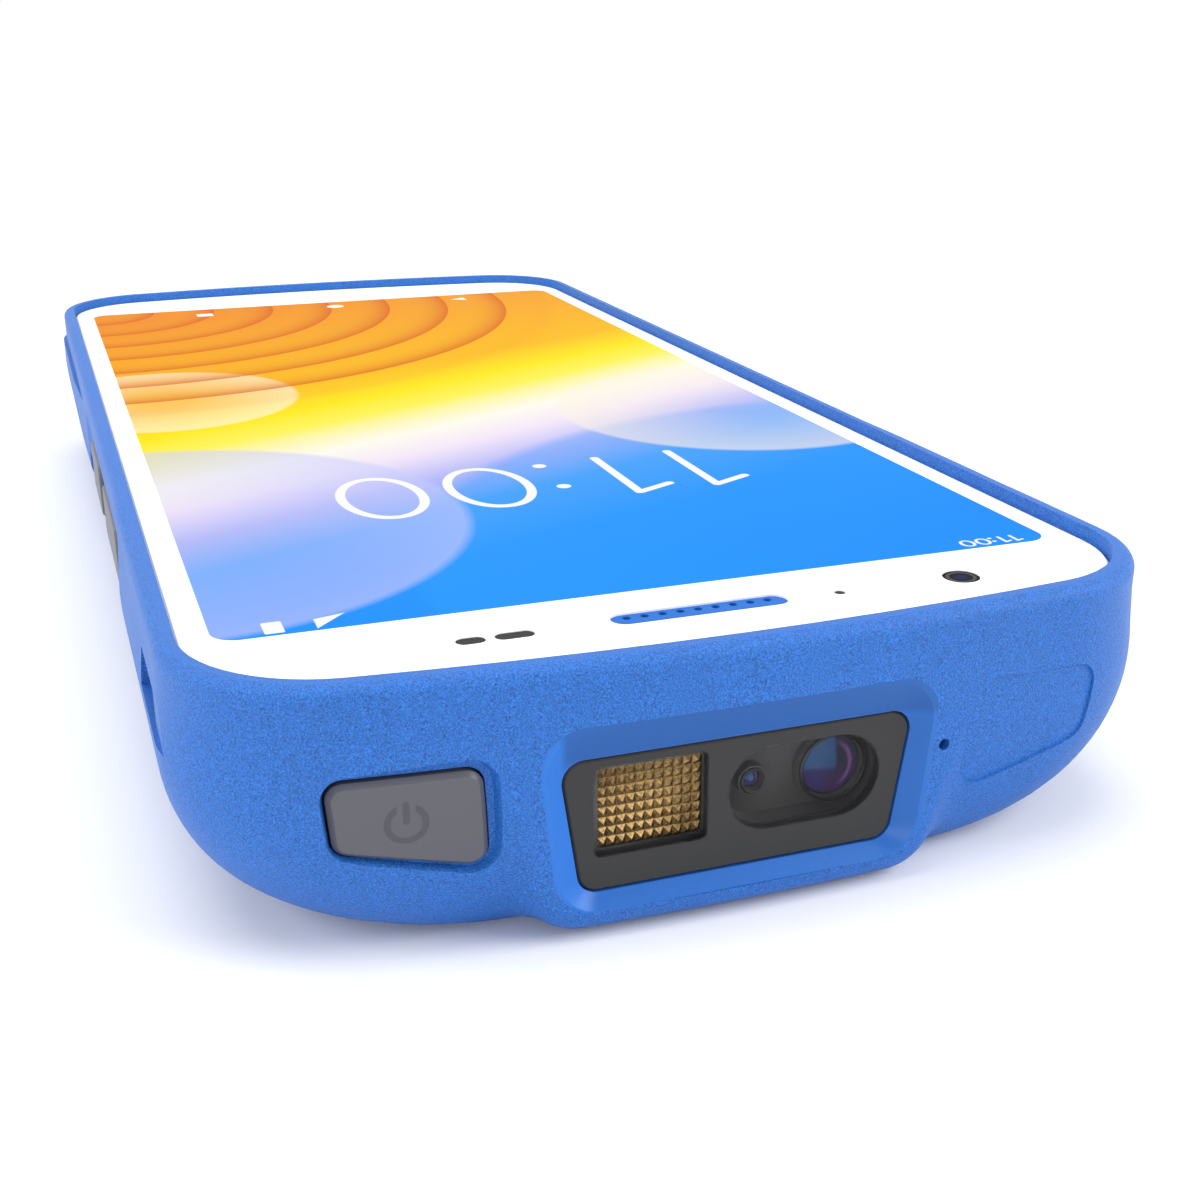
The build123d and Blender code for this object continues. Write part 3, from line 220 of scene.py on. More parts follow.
class TerminalCase(bpy.types.PropertyGroup):
    """Moulded case, its covers and the keys."""

    case: colour("Case", (0.0172, 0.127, 0.470), "Colour of the moulded case")
    cover: colour("Battery lid", (0.0168, 0.120, 0.455), "Colour of the battery lid")
    key: colour("Keys", (0.081, 0.081, 0.099), "Colour of the keys")
    mark: colour("Key mark", (0.053, 0.053, 0.066), "Colour of the mark on the power key")
    grain: FloatProperty(
        name="Grain size", description="Size of the moulded grain in millimetres",
        default=0.12, min=0.05, max=3,
    )
    grain_depth: FloatProperty(
        name="Grain depth", description="Depth of the moulded grain in millimetres",
        default=0.08, min=0, max=0.5,
    )
    mark_size: FloatProperty(
        name="Mark size", description="Diameter of the power mark in millimetres",
        default=2.55, min=1, max=5,
    )


class TerminalScreen(bpy.types.PropertyGroup):
    """Glass, its white print and the lit picture."""

    border: colour("Border", (0.93, 0.93, 0.93), "Colour of the print round the lit picture")
    glow: FloatProperty(
        name="Glow", description="Brightness of the lit picture", default=1.0, min=0, max=3
    )
    figure_stroke: FloatProperty(
        name="Figure stroke", description="Line width of the large clock in millimetres",
        default=0.9, min=0.3, max=2,
    )
    rings: IntProperty(
        name="Rings", description="Number of rings along half the picture's length",
        default=8, min=1, max=20,
    )


class TerminalOptics(bpy.types.PropertyGroup):
    """Scan window, lenses and the faceted light panel."""

    # The print is also painted shade: an opaque dark sheet over the window where its inside would
    # show dark in shade.
    print_and_shade: colour(
        "Window print and shade", (0.035, 0.035, 0.036), "Colour of the print behind the scan window"
    )
    smoke_share: FloatProperty(
        name="Smoke", description="Share of light that the scan window keeps back", default=0.16,
        min=0, max=1, subtype="FACTOR",
    )
    # The mask's and the recess's colours are raised as painted light, standing in for light that the
    # window's print keeps off them.
    engine: colour("Engine face", (0.120, 0.120, 0.124), "Colour of the mask behind the window")
    recess: colour("Lens recess", (0.130, 0.130, 0.134), "Colour of the recess round the lenses")
    gold: colour("Facets", (0.560, 0.360, 0.145), "Colour of the faceted light panel")
    coating: colour("Lens coating", (0.030, 0.090, 0.230), "Colour of the coated lenses")


class TerminalStage(bpy.types.PropertyGroup):
    """Floor, light and camera."""

    floor: colour("Floor", (0.90, 0.90, 0.90), "Colour of the floor")
    lens: FloatProperty(
        name="Lens", description="Focal length in millimetres", default=47.75, min=10, max=200
    )
    sky: FloatProperty(
        name="Sky", description="Brightness of the surroundings", default=0.54, min=0, max=3
    )
    key_light: power("Key light", 3.9, "Power of the large side light")
    top_light: power("Top light", 4.0, "Power of the light overhead")
    front_light: power("Front light", 1.3, "Power of the light before the near end")
    left_light: power("Left light", 1.8, "Power of the light at the left")


# ---------------------------------------------------------------- finishes

def dress(material, *names):
    """Gives a finish to CAD nodes."""
    for name in names:
        NODES[name].data.materials.clear()
        NODES[name].data.materials.append(material)


def moulded(name, tint, grain, depth, roughness=0.46):
    """Grained plastic: fine mould grain with painted shade in its hollows and painted highlights on
    its peaks, faint cloudiness in the colour and in the sheen.
    """
    finish = Finish(name)
    cloud = finish.noise(18, 3)
    fine = finish.noise(grain, 1)
    # Painted light: the fine grain darkens the colour in its hollows and lightens it on its peaks,
    # as shade and highlights would.
    shade = finish.fade(cloud, 0.3, 0.7, 0.97, 1.03) * finish.fade(fine, 0.2, 0.8, 0.35, 1.65)
    return finish.surface({
        "Base Color": finish.shaded(tint, shade),
        "Roughness": finish.fade(fine + cloud, 0.6, 1.4, roughness - 0.05, roughness + 0.06),
        "Specular IOR Level": 0.33,
        "Normal": finish.bump(fine, depth, 1.0),
    })


def smooth_plastic(name, tint, roughness, speck=0.12, level=0.4):
    """Fine satin plastic with a faint speckle."""
    finish = Finish(name)
    fine = finish.noise(speck, 1)
    cloud = finish.noise(9, 2)
    shade = finish.fade(cloud + fine * 0.5, 0.5, 1.0, 0.97, 1.03)
    return finish.surface({
        "Base Color": finish.shaded(tint, shade),
        "Roughness": finish.fade(fine, 0.3, 0.7, roughness - 0.04, roughness + 0.04),
        "Specular IOR Level": level,
        "Normal": finish.bump(fine, 0.01, 0.25),
    })


def brushed(name, tint, roughness, along="X"):
    """Metal with short brush lines along one axis."""
    finish = Finish(name)
    stretch = {"X": (0.06, 1, 1), "Y": (1, 0.06, 1), "Z": (1, 1, 0.06)}[along]
    values = {0: finish.place(), 1: stretch}
    drawn = finish.node("ShaderNodeVectorMath", {"operation": "MULTIPLY"}, values)
    lines = finish.noise(0.12, 3, drawn)
    cloud = finish.noise(6, 2)
    return finish.surface({
        "Base Color": finish.shaded(tint, finish.fade(lines, 0.25, 0.75, 0.86, 1.06)),
        "Metallic": 1.0,
        "Roughness": finish.fade(lines + cloud, 0.6, 1.4, roughness - 0.08, roughness + 0.1),
        "Normal": finish.bump(lines, 0.01, 0.3),
    })


def capsule(x, y, start, end, radius):
    """Signed distance to a round-ended stroke."""
    run = Vector(end) - Vector(start)
    px = x - start[0]
    py = y - start[1]
    share = ((px * run.x + py * run.y) / run.length_squared).most(0.0).least(1.0)
    return (px - share * run.x).reach(py - share * run.y) - radius


def oval_ring(x, y, centre, half_x, half_y, stroke):
    """Signed distance to an oval line."""
    px = x - centre[0]
    py = y - centre[1]
    near = (px / half_x).reach(py / half_y)
    slope = (px / half_x ** 2).reach(py / half_y ** 2).most(0.001)
    return abs(near * (near - 1) / slope) - stroke / 2


def rounded_box(x, y, centre, half_x, half_y, corner):
    """Signed distance to a rounded rectangle."""
    dx = abs(x - centre[0]) - (half_x - corner)
    dy = abs(y - centre[1]) - (half_y - corner)
    return dx.most(0.0).reach(dy.most(0.0)) + dx.most(dy).least(0.0) - corner


def clock_lines(x, y, stroke):
    """Signed distance to the figures 11:00, read from the far end."""
    half = stroke / 2
    shape = None
    for stem in CLOCK_STEMS:
        tip = (stem + CLOCK_FLAG[0], CLOCK_TOP + CLOCK_FLAG[1])
        upright = capsule(x, y, (stem, CLOCK_FOOT), (stem, CLOCK_TOP), half)
        flag = capsule(x, y, (stem, CLOCK_TOP), tip, half)
        both = upright.least(flag)
        shape = both if shape is None else shape.least(both)
    for centre in CLOCK_OVALS:
        shape = shape.least(oval_ring(x, y, (centre, CLOCK_MIDDLE), *CLOCK_OVAL_HALF, stroke))
    for dot_x, dot_y in CLOCK_DOTS:
        shape = shape.least((x - dot_x).reach(y - dot_y) - half * 1.5)
    return shape


def triangle(x, y, corners):
    """Signed distance to a filled triangle."""
    middle = sum((Vector(corner) for corner in corners), Vector((0, 0))) / 3
    shape = None
    for start, end in zip(corners, corners[1:] + corners[:1]):
        run = Vector(end) - Vector(start)
        out = Vector((run.y, -run.x)).normalized()
        if out.dot(middle - Vector(start)) > 0:
            out = -out
        side = (x - start[0]) * out.x + (y - start[1]) * out.y
        shape = side if shape is None else shape.most(side)
    return shape


# The lit area, in millimetres.
LIT_HALF_X = 34.1
LIT_HALF_Y = 68.2
LIT_MIDDLE_Y = 0.8
LIT_CORNER = 2.0

# The large clock: the stems of its ones, the middles of its noughts, and its dots.
CLOCK_TOP = -42.7
CLOCK_FOOT = -30.3
CLOCK_MIDDLE = -36.5
CLOCK_STEMS = (14.9, 7.25)
CLOCK_FLAG = (3.6, 1.8)
CLOCK_OVALS = (-5.25, -15.25)
CLOCK_OVAL_HALF = (3.6, 6.3)
CLOCK_DOTS = ((1.3, -31.2), (1.3, -38.6))

# The small clock: its place, its size as shares of the large one, its stroke before that.
SMALL_CLOCK_X = 29.15
SMALL_CLOCK_Y = -66.1
SMALL_CLOCK_WIDTH = 0.146
SMALL_CLOCK_HEIGHT = 0.108
SMALL_CLOCK_STROKE = 1.9

# The picture's bands from the near end to the far end.
BANDS = (
    (0.00, (0.016, 0.290, 0.990)),
    (0.16, (0.020, 0.310, 0.990)),
    (0.25, (0.090, 0.380, 0.970)),
    (0.31, (0.460, 0.490, 0.940)),
    (0.37, (0.900, 0.800, 0.940)),
    (0.42, (0.990, 0.960, 0.860)),
    (0.49, (0.990, 0.900, 0.100)),
    (0.54, (0.990, 0.820, 0.003)),
    (0.62, (0.980, 0.520, 0.004)),
    (1.00, (0.900, 0.280, 0.008)),
)

# Plain discs in the picture: middle, radius in millimetres, colour and share.
DISCS = (
    ((34.0, -66.0), 52.0, (0.030, 0.360, 0.990), 0.45),
    ((30.0, -14.0), 20.0, (0.980, 0.900, 0.760), 0.55),
    ((-36.0, -40.0), 27.0, (0.560, 0.600, 0.990), 0.55),
    ((-30.0, 10.0), 15.0, (1.000, 0.960, 0.700), 0.55),
)


def small_marks(x, y):
    """Signed distances to the far end's three plain marks and the near end's two."""
    return (
        rounded_box(x, y, (-18.8, 64.2), 1.15, 1.1, 0.25),
        (x - 0.4).reach(y - 65.0) - 1.25,
        triangle(x, y, [(18.1, 65.0), (20.4, 63.8), (20.4, 66.2)]),
        rounded_box(x, y, (-29.7, -65.8), 0.72, 1.15, 0.15),
        triangle(x, y, [(-26.7, -65.1), (-24.3, -64.5), (-26.7, -67.0)]),
    )


def rings(finish, x, y, count):
    """The lit picture: slanting soft bands, rings about its far left corner and plain discs."""
    across = x / LIT_HALF_X
    along = (y - LIT_MIDDLE_Y) / LIT_HALF_Y
    drift = finish.noise(70, 1.0)
    level = 0.5 + along * 0.46 - across * 0.11 + (drift - 0.5) * 0.06
    picture = finish.node("ShaderNodeValToRGB", values={0: level}, stops=BANDS)
    for (middle_x, middle_y), radius, tint, share in DISCS:
        distance = (x - middle_x).reach(y - middle_y) / radius
        disc = finish.fade(distance, 1.02, 0.98) * finish.fade(distance, 0.2, 1.0, 0.25, 1.0)
        picture = finish.blend(disc * share, picture, tint)
    reach = (x + LIT_HALF_X).reach(y - LIT_MIDDLE_Y - LIT_HALF_Y) / LIT_HALF_Y
    ring = (reach * count).fraction()
    far = finish.fade(reach, 0.98, 0.90)
    tint = finish.blend(ring, (0.990, 0.560, 0.030), (0.700, 0.110, 0.003))
    return finish.blend(far * ring ** 2 * 0.8, picture, tint)


class TERMINAL_OT_screen(bpy.types.Operator):
    """Give the cover glass its printed border and the lit picture, and the panel its dark back"""

    bl_idname = "terminal.screen"
    bl_label = "Screen"

    def execute(self, context):
        settings = context.scene.terminal_screen
        finish = Finish("lit_glass")
        x, y, z = finish.axes()
        area = rounded_box(x, y, (0, LIT_MIDDLE_Y), LIT_HALF_X, LIT_HALF_Y, LIT_CORNER)
        lit = finish.inside(area, 0.04)

        picture = rings(finish, x, y, settings.rings)
        figures = clock_lines(x, y, settings.figure_stroke)
        small = clock_lines(
            (x - SMALL_CLOCK_X) / SMALL_CLOCK_WIDTH,
            (y - SMALL_CLOCK_Y) / SMALL_CLOCK_HEIGHT + CLOCK_MIDDLE,
            SMALL_CLOCK_STROKE,
        )
        marks = finish.inside(figures).most(finish.inside(small, 0.25))
        for shape in small_marks(x, y):
            marks = marks.most(finish.inside(shape))
        picture = finish.blend(marks, picture, (1, 1, 1))
        glow = finish.shaded(picture, lit * settings.glow)
        smear = finish.noise(14, 2)
        material = finish.surface({
            "Base Color": finish.blend(lit, settings.border, (0.004, 0.004, 0.005)),
            "Roughness": finish.fade(smear, 0.3, 0.7, 0.06, 0.10),
            "Specular IOR Level": 0.001,
            "Emission Color": glow,
            "Emission Strength": 1.0,
        })
        dress(material, "cover_glass")
        dress(smooth_plastic("white_film", settings.border, 0.4), "bezel_film")
        panel = Finish("panel_back")
        cloud = panel.noise(12, 3)
        dress(panel.surface({
            "Base Color": panel.blend(cloud, (0.014, 0.014, 0.020), (0.030, 0.030, 0.038)),
            "Roughness": panel.fade(cloud, 0.3, 0.7, 0.14, 0.26),
        }), "display_panel")
        return {"FINISHED"}


class TERMINAL_OT_case(bpy.types.Operator):
    """Finish the case and its covers in grained plastic, and the frame of the scan window in smooth
    plastic with a painted highlight on its left side and painted shade along its top
    """

    bl_idname = "terminal.case"
    bl_label = "Case"

    def execute(self, context):
        settings = context.scene.terminal_case
        dress(
            moulded("grained_case", settings.case, settings.grain, settings.grain_depth),
            "front_housing", "rear_cover",
        )
        dress(
            moulded("grained_lid", settings.cover, settings.grain, settings.grain_depth),
            "battery_cover",
        )
        dress(smooth_plastic("smooth_blue", settings.case, 0.38, level=0.05), "earpiece_grille")
        bevel = Finish("smooth_bevel")
        x, y, z = bevel.axes()
        low, high = (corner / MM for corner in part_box("scan_window"))
        # Painted light on the frame: its left side is painted lighter and its top painted darker, as
        # light falls on them.
        lit_flank = bevel.fade(x - low.x - (high.z - z) * 0.148, 0.3, -0.3)
        shaded_brow = bevel.fade(z - high.z, -0.3, 0.3) * (1 - lit_flank)
        fine = bevel.noise(0.15, 1)
        shade = (1 + lit_flank * 0.2 - shaded_brow * 0.24) * bevel.fade(fine, 0.3, 0.7, 0.96, 1.04)
        dress(bevel.surface({
            "Base Color": bevel.shaded(settings.case, shade),
            "Roughness": bevel.fade(fine, 0.3, 0.7, 0.36, 0.42),
            "Specular IOR Level": 0.3,
        }), "scan_bezel")
        return {"FINISHED"}


# The power mark on its key, in millimetres.
MARK_MIDDLE = (-24.06, 10.94)
MARK_STROKE = 0.45
MARK_GAP = 0.62


class TERMINAL_OT_keys(bpy.types.Operator):
    """Finish the keys in satin plastic and print the mark on the power key"""

    bl_idname = "terminal.keys"
    bl_label = "Keys"

    def execute(self, context):
        settings = context.scene.terminal_case
        dress(
            smooth_plastic("satin_key", settings.key, 0.42),
            "volume_key", "right_scan_key", "left_scan_key", "talk_key",
            "battery_latch_left", "battery_latch_right",
        )
        finish = Finish("marked_key")
        x, y, z = finish.axes()
        centre_x, centre_z = MARK_MIDDLE
        radius = settings.mark_size / 2
        half = MARK_STROKE / 2
        ring = abs((x - centre_x).reach(z - centre_z) - radius) - half
        gap = abs(x - centre_x) - MARK_GAP
        above = centre_z - z
        ring = ring.most(0 - gap.most(above))
        bar = capsule(x, z, (centre_x, centre_z + 0.2), (centre_x, centre_z + radius + 0.15), half)
        mark = finish.inside(ring.least(bar), 0.05)
        fine = finish.noise(0.12, 1)
        dress(finish.surface({
            "Base Color": finish.blend(mark, settings.key, settings.mark),
            "Roughness": finish.fade(fine, 0.3, 0.7, 0.38, 0.46),
            "Normal": finish.bump(fine * 0.2 - mark, 0.04, 0.6),
        }), "power_key")
        return {"FINISHED"}


# Clear areas of the window's print, in millimetres; elsewhere the print is an opaque dark sheet that
# is also painted shade for the inside of the window. They lean towards a viewer at the upper left.
RECESS_START = 0.0
RECESS_END = 11.7
RECESS_RADIUS = 3.1
PANE_MARGIN = Vector((0.12, 0, 0.14))
PANE_SLANT = Vector((-0.48, 0, 0.57))

FACET_COLUMNS = 11
FACET_ROWS = 8


class TERMINAL_OT_optics(bpy.types.Operator):
    """Finish the scan window, the mask, the lenses and the faceted light panel; the window's dark
    print is also painted shade, the mask and the lens recess have colours raised as painted light,
    and the facets carry painted light and shade and a painted glow
    """

    bl_idname = "terminal.optics"
    bl_label = "Optics"

    def execute(self, context):
        settings = context.scene.terminal_optics
        panel_low, panel_high = (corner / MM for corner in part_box("illumination_lens"))
        window_low, window_high = (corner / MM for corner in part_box("scan_window"))
        barrel_low, barrel_high = (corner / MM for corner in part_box("lens_barrels"))
        depth = (window_low.y + window_high.y) / 2
        recess_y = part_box("engine_face")[0].y / MM
        recess_z = (barrel_low.z + barrel_high.z) / 2
        recess_low = Vector((RECESS_START, recess_y, recess_z - RECESS_RADIUS))
        recess_high = Vector((RECESS_END, recess_y, recess_z + RECESS_RADIUS))
        panel_half = (panel_high - panel_low) / 2 + PANE_MARGIN + Vector((0.15, 0, 0.15))
        recess_half = (recess_high - recess_low) / 2 + PANE_MARGIN
        smoked = Finish("smoked_window_and_shade")
        x, y, z = smoked.axes()
        share = 1.0
        for low, high, half, corner, smoke in (
            (panel_low, panel_high, panel_half, 0.5, 0.0),
            (recess_low, recess_high, recess_half, recess_half.z, settings.smoke_share),
        ):
            centre = (low + high) / 2 + PANE_SLANT * (low.y - depth)
            area = rounded_box(x, z, (centre.x, centre.z), half.x, half.z, corner)
            share = smoked.fade(area, -0.12, 0.12, smoke, 1.0).least(share)
        haze = smoked.noise(4, 2)
        # The print is also painted shade: opaque and dark everywhere but the clear areas, where the
        # inside of the window would show in shade.
        dress(smoked.surface({
            "Base Color": settings.print_and_shade,
            "Roughness": smoked.fade(haze, 0.3, 0.7, 0.09, 0.14),
            "Specular IOR Level": 0.2,
            "Alpha": share,
        }), "scan_window")
        # Raised colours as painted light: the mask, the engine body and the lens barrels stand in
        # for light that the window's print keeps off them.
        dress(smooth_plastic("engine_mask", settings.engine, 0.6), "engine_face")
        dress(
            smooth_plastic("engine_recess_painted_light", settings.recess, 0.6),
            "scan_engine_body", "lens_barrels",
        )
        facets = Finish("facet_gold")
        x, y, z = facets.axes()
        low, high = panel_low, panel_high
        # Painted light and shade on the pyramids: in each cell the upper face is painted brightest,
        # the left face mid, the right and lower faces dark.
        across = ((x - low.x) / ((high.x - low.x) / FACET_COLUMNS)).fraction() - 0.5
        up = ((z - low.z) / ((high.z - low.z) / FACET_ROWS)).fraction() - 0.5
        level_side = facets.fade(abs(across) - abs(up), -0.03, 0.03)
        upper = facets.fade(up, -0.03, 0.03)
        right = facets.fade(across, -0.03, 0.03)
        shade = level_side * (0.56 - right * 0.44) + (1 - level_side) * (0.10 + upper * 0.90)
        tarnish = facets.noise(0.25, 2)
        tint = facets.shaded(settings.gold, shade * facets.fade(tarnish, 0.3, 0.7, 0.7, 1.3))
        dress(facets.surface({
            "Base Color": tint,
            # Painted glow: the facets give off a share of their colour, standing in for light that
            # the window's print keeps off them.
            "Emission Color": facets.shaded(tint, 0.12),
            "Emission Strength": 1.0,
            "Metallic": 0.6,
            "Roughness": facets.fade(tarnish, 0.3, 0.7, 0.22, 0.34),
        }), "illumination_lens")
        return {"FINISHED"}


def disc_axes(finish, centre_x, centre_other, axis):
    """Offsets in millimetres from a level axis along Y or from an upright axis along Z."""
    x, y, z = finish.axes()
    other = z if axis == "Y" else y
    return x - centre_x, other - centre_other


def camera_glass(name, node, reach, centre_tint):
    """Black window with a grey ring and a dark lens in its middle."""
    low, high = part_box(node)
    middle = (low + high) / (2 * MM)
    finish = Finish(name)
    across, other = disc_axes(finish, middle.x, middle.y, "Z")
    radius = across.reach(other) / reach
    ring = finish.inside(abs(radius - 0.74) - 0.10, 0.03)
    iris = finish.inside(radius - 0.56, 0.04)
    pupil = finish.inside(radius - 0.30, 0.10)
    tint = finish.blend(ring, (0.004, 0.004, 0.005), (0.060, 0.062, 0.061))
    tint = finish.blend(iris, tint, (0.010, 0.010, 0.014))
    tint = finish.blend(pupil, tint, centre_tint)
    return finish.surface({
        "Base Color": tint,
        "Roughness": finish.fade(ring, 0, 1, 0.06, 0.3),
        "Specular IOR Level": 0.008,
    })


def dome(node, name):
    """A ground lens over a CAD lens: the cap of a fine sphere on a straight-sided foot."""
    low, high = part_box(node)
    radius = (high.x - low.x) / 2
    rise = min(0.62 * radius, (high.y - low.y) * 0.6)
    ball = (radius ** 2 + rise ** 2) / (2 * rise)
    middle = (low + high) / 2
    shape = bmesh.new()
    bmesh.ops.create_uvsphere(shape, u_segments=64, v_segments=96, radius=ball)
    everything = shape.verts[:] + shape.edges[:] + shape.faces[:]
    bmesh.ops.bisect_plane(
        shape, geom=everything, plane_co=(0, 0, ball - rise), plane_no=(0, 0, -1), clear_outer=True
    )
    rim = [edge for edge in shape.edges if edge.is_boundary]
    foot = bmesh.ops.extrude_edge_only(shape, edges=rim)["geom"]
    loop = [item for item in foot if isinstance(item, bmesh.types.BMVert)]
    bmesh.ops.translate(shape, verts=loop, vec=(0, 0, -(high.y - low.y - rise)))
    bmesh.ops.holes_fill(shape, edges=[edge for edge in shape.edges if edge.is_boundary])
    bmesh.ops.rotate(shape, verts=shape.verts, matrix=Matrix.Rotation(radians(90), 3, "X"))
    bmesh.ops.translate(shape, verts=shape.verts, vec=(middle.x, low.y + ball, middle.z))
    return finished(shape, name, "terminal")


def finished(shape, name, body, smooth=True):
    """Closes a bmesh into an object that rides on a body."""
    bmesh.ops.recalc_face_normals(shape, faces=shape.faces)
    mesh = bpy.data.meshes.new(name)
    shape.to_mesh(mesh)
    shape.free()
    if smooth:
        mesh.shade_smooth()
        mesh.set_sharp_from_angle(angle=radians(35))
    made = bpy.data.objects.new(name, mesh)
    bpy.context.scene.collection.objects.link(made)
    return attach(made, body)


def coated(name, node, deep):
    """Coated lens: a blue quarter, a violet lower edge, a painted highlight as a bright crescent,
    and a painted glow.
    """
    low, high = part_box(node)
    middle = (low + high) / (2 * MM)
    reach = (high.x - low.x) / (2 * MM)
    settings = bpy.context.scene.terminal_optics
    finish = Finish(name)
    across, up = disc_axes(finish, middle.x, middle.z, "Y")
    across = across / reach
    up = up / reach
    radius = across.reach(up)
    base = finish.blend(finish.fade(up, -0.9, 0.3), (0.045, 0.022, 0.105), (0.028, 0.030, 0.050))
    lit = finish.inside(radius - 0.9, 0.05)
    quarter = finish.fade(across, 0.22, 0.10) * finish.fade(up, -0.20, 0.0) * lit
    tint = finish.blend(quarter, base, settings.coating)
    lower = finish.fade(across, 0.0, -0.3) * finish.fade(up, 0.0, -0.1) * lit
    tint = finish.blend(lower * 0.8, tint, (0.040, 0.030, 0.150))
    # Painted highlight: a bright violet crescent towards the right edge.
    shift = (across + 0.12).reach(up)
    crescent = finish.inside(abs(shift - 0.78) - 0.07, 0.05) * finish.fade(across, 0.15, 0.55)
    tint = finish.blend(crescent, tint, (0.170, 0.080, 0.270))
    tint = finish.blend(finish.inside(radius - 0.28, 0.06) * deep, tint, (0.050, 0.110, 0.330))
    tint = finish.blend(finish.fade(radius, 0.90, 0.96), tint, (0.012, 0.012, 0.014))
    return finish.surface({
        "Base Color": tint,
        # Painted glow: the lens gives off a share of its colour, standing in for light that the
        # window's print keeps off it.
        "Emission Color": finish.shaded(tint, 0.45),
        "Emission Strength": 1.0,
        "Roughness": finish.fade(radius, 0, 1, 0.05, 0.10),
        "Specular IOR Level": 0.2,
    })


RING_WIRE = 0.16
SOCKET_STRIPS = 12


class TERMINAL_OT_lenses(bpy.types.Operator):
    """Grind the domed lenses of the scan engine and set a ring round each"""

    bl_idname = "terminal.lenses"
    bl_label = "Lenses"

    def execute(self, context):
        ring_finish = brushed("dark_ring", (0.10, 0.10, 0.11), 0.35)
        for node, name, deep in (
            ("imaging_lens", "imaging_dome", 0.0),
            ("aiming_lens", "aiming_dome", 1.0),
        ):
            lens = dome(node, name)
            lens.data.materials.append(coated(name + "_coat", node, deep))
            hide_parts(node)
            low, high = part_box(node)
            middle = (low + high) / 2
            radius = (high.x - low.x) / 2
            shape = bmesh.new()
            wire = RING_WIRE * MM
            bmesh.ops.create_circle(shape, segments=10, radius=wire)
            bmesh.ops.rotate(shape, verts=shape.verts, matrix=Matrix.Rotation(radians(90), 3, "X"))
            bmesh.ops.translate(shape, verts=shape.verts, vec=(radius + wire, 0, 0))
            bmesh.ops.spin(
                shape, geom=shape.verts[:] + shape.edges[:], cent=(0, 0, 0), axis=(0, 0, 1),
                angle=2 * pi, steps=64, use_merge=True, use_duplicate=False,
            )
            bmesh.ops.remove_doubles(shape, verts=shape.verts, dist=1e-7)
            bmesh.ops.rotate(shape, verts=shape.verts, matrix=Matrix.Rotation(radians(90), 3, "X"))
            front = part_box("lens_barrels")[0].y
            bmesh.ops.translate(shape, verts=shape.verts, vec=(middle.x, front, middle.z))
            ring = finished(shape, name + "_ring", "terminal")
            ring.data.materials.append(ring_finish)
        return {"FINISHED"}


class TERMINAL_OT_socket(bpy.types.Operator):
    """Lay the gold contact strips on both faces of the socket's tongue"""

    bl_idname = "terminal.socket"
    bl_label = "Socket contacts"

    def execute(self, context):
        low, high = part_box("usb_tongue")
        middle = (low + high) / 2
        width = (high.x - low.x) * 0.86 / SOCKET_STRIPS
        shape = bmesh.new()
        for face in (low.z, high.z):
            for step in range(SOCKET_STRIPS):
                made = bmesh.ops.create_cube(shape, size=1)["verts"]
                size = (width * 0.55, (high.y - low.y) * 0.7, 0.04 * MM)
                bmesh.ops.scale(shape, verts=made, vec=size)
                across = (step - (SOCKET_STRIPS - 1) / 2) * width
                place = (middle.x + across, middle.y + 0.3 * MM, face)
                bmesh.ops.translate(shape, verts=made, vec=place)
        edges = [
            edge for edge in shape.edges
            if abs((edge.verts[0].co - edge.verts[1].co).y) > 1 * MM
        ]
        bmesh.ops.bevel(
            shape, geom=edges, offset=0.012 * MM, segments=2, profile=0.5, affect="EDGES",
            material=-1,
        )
        contacts = finished(shape, "socket_contacts", "terminal", smooth=False)
        contacts.data.materials.append(brushed("socket_gold", (0.80, 0.58, 0.22), 0.28, "Y"))
        return {"FINISHED"}


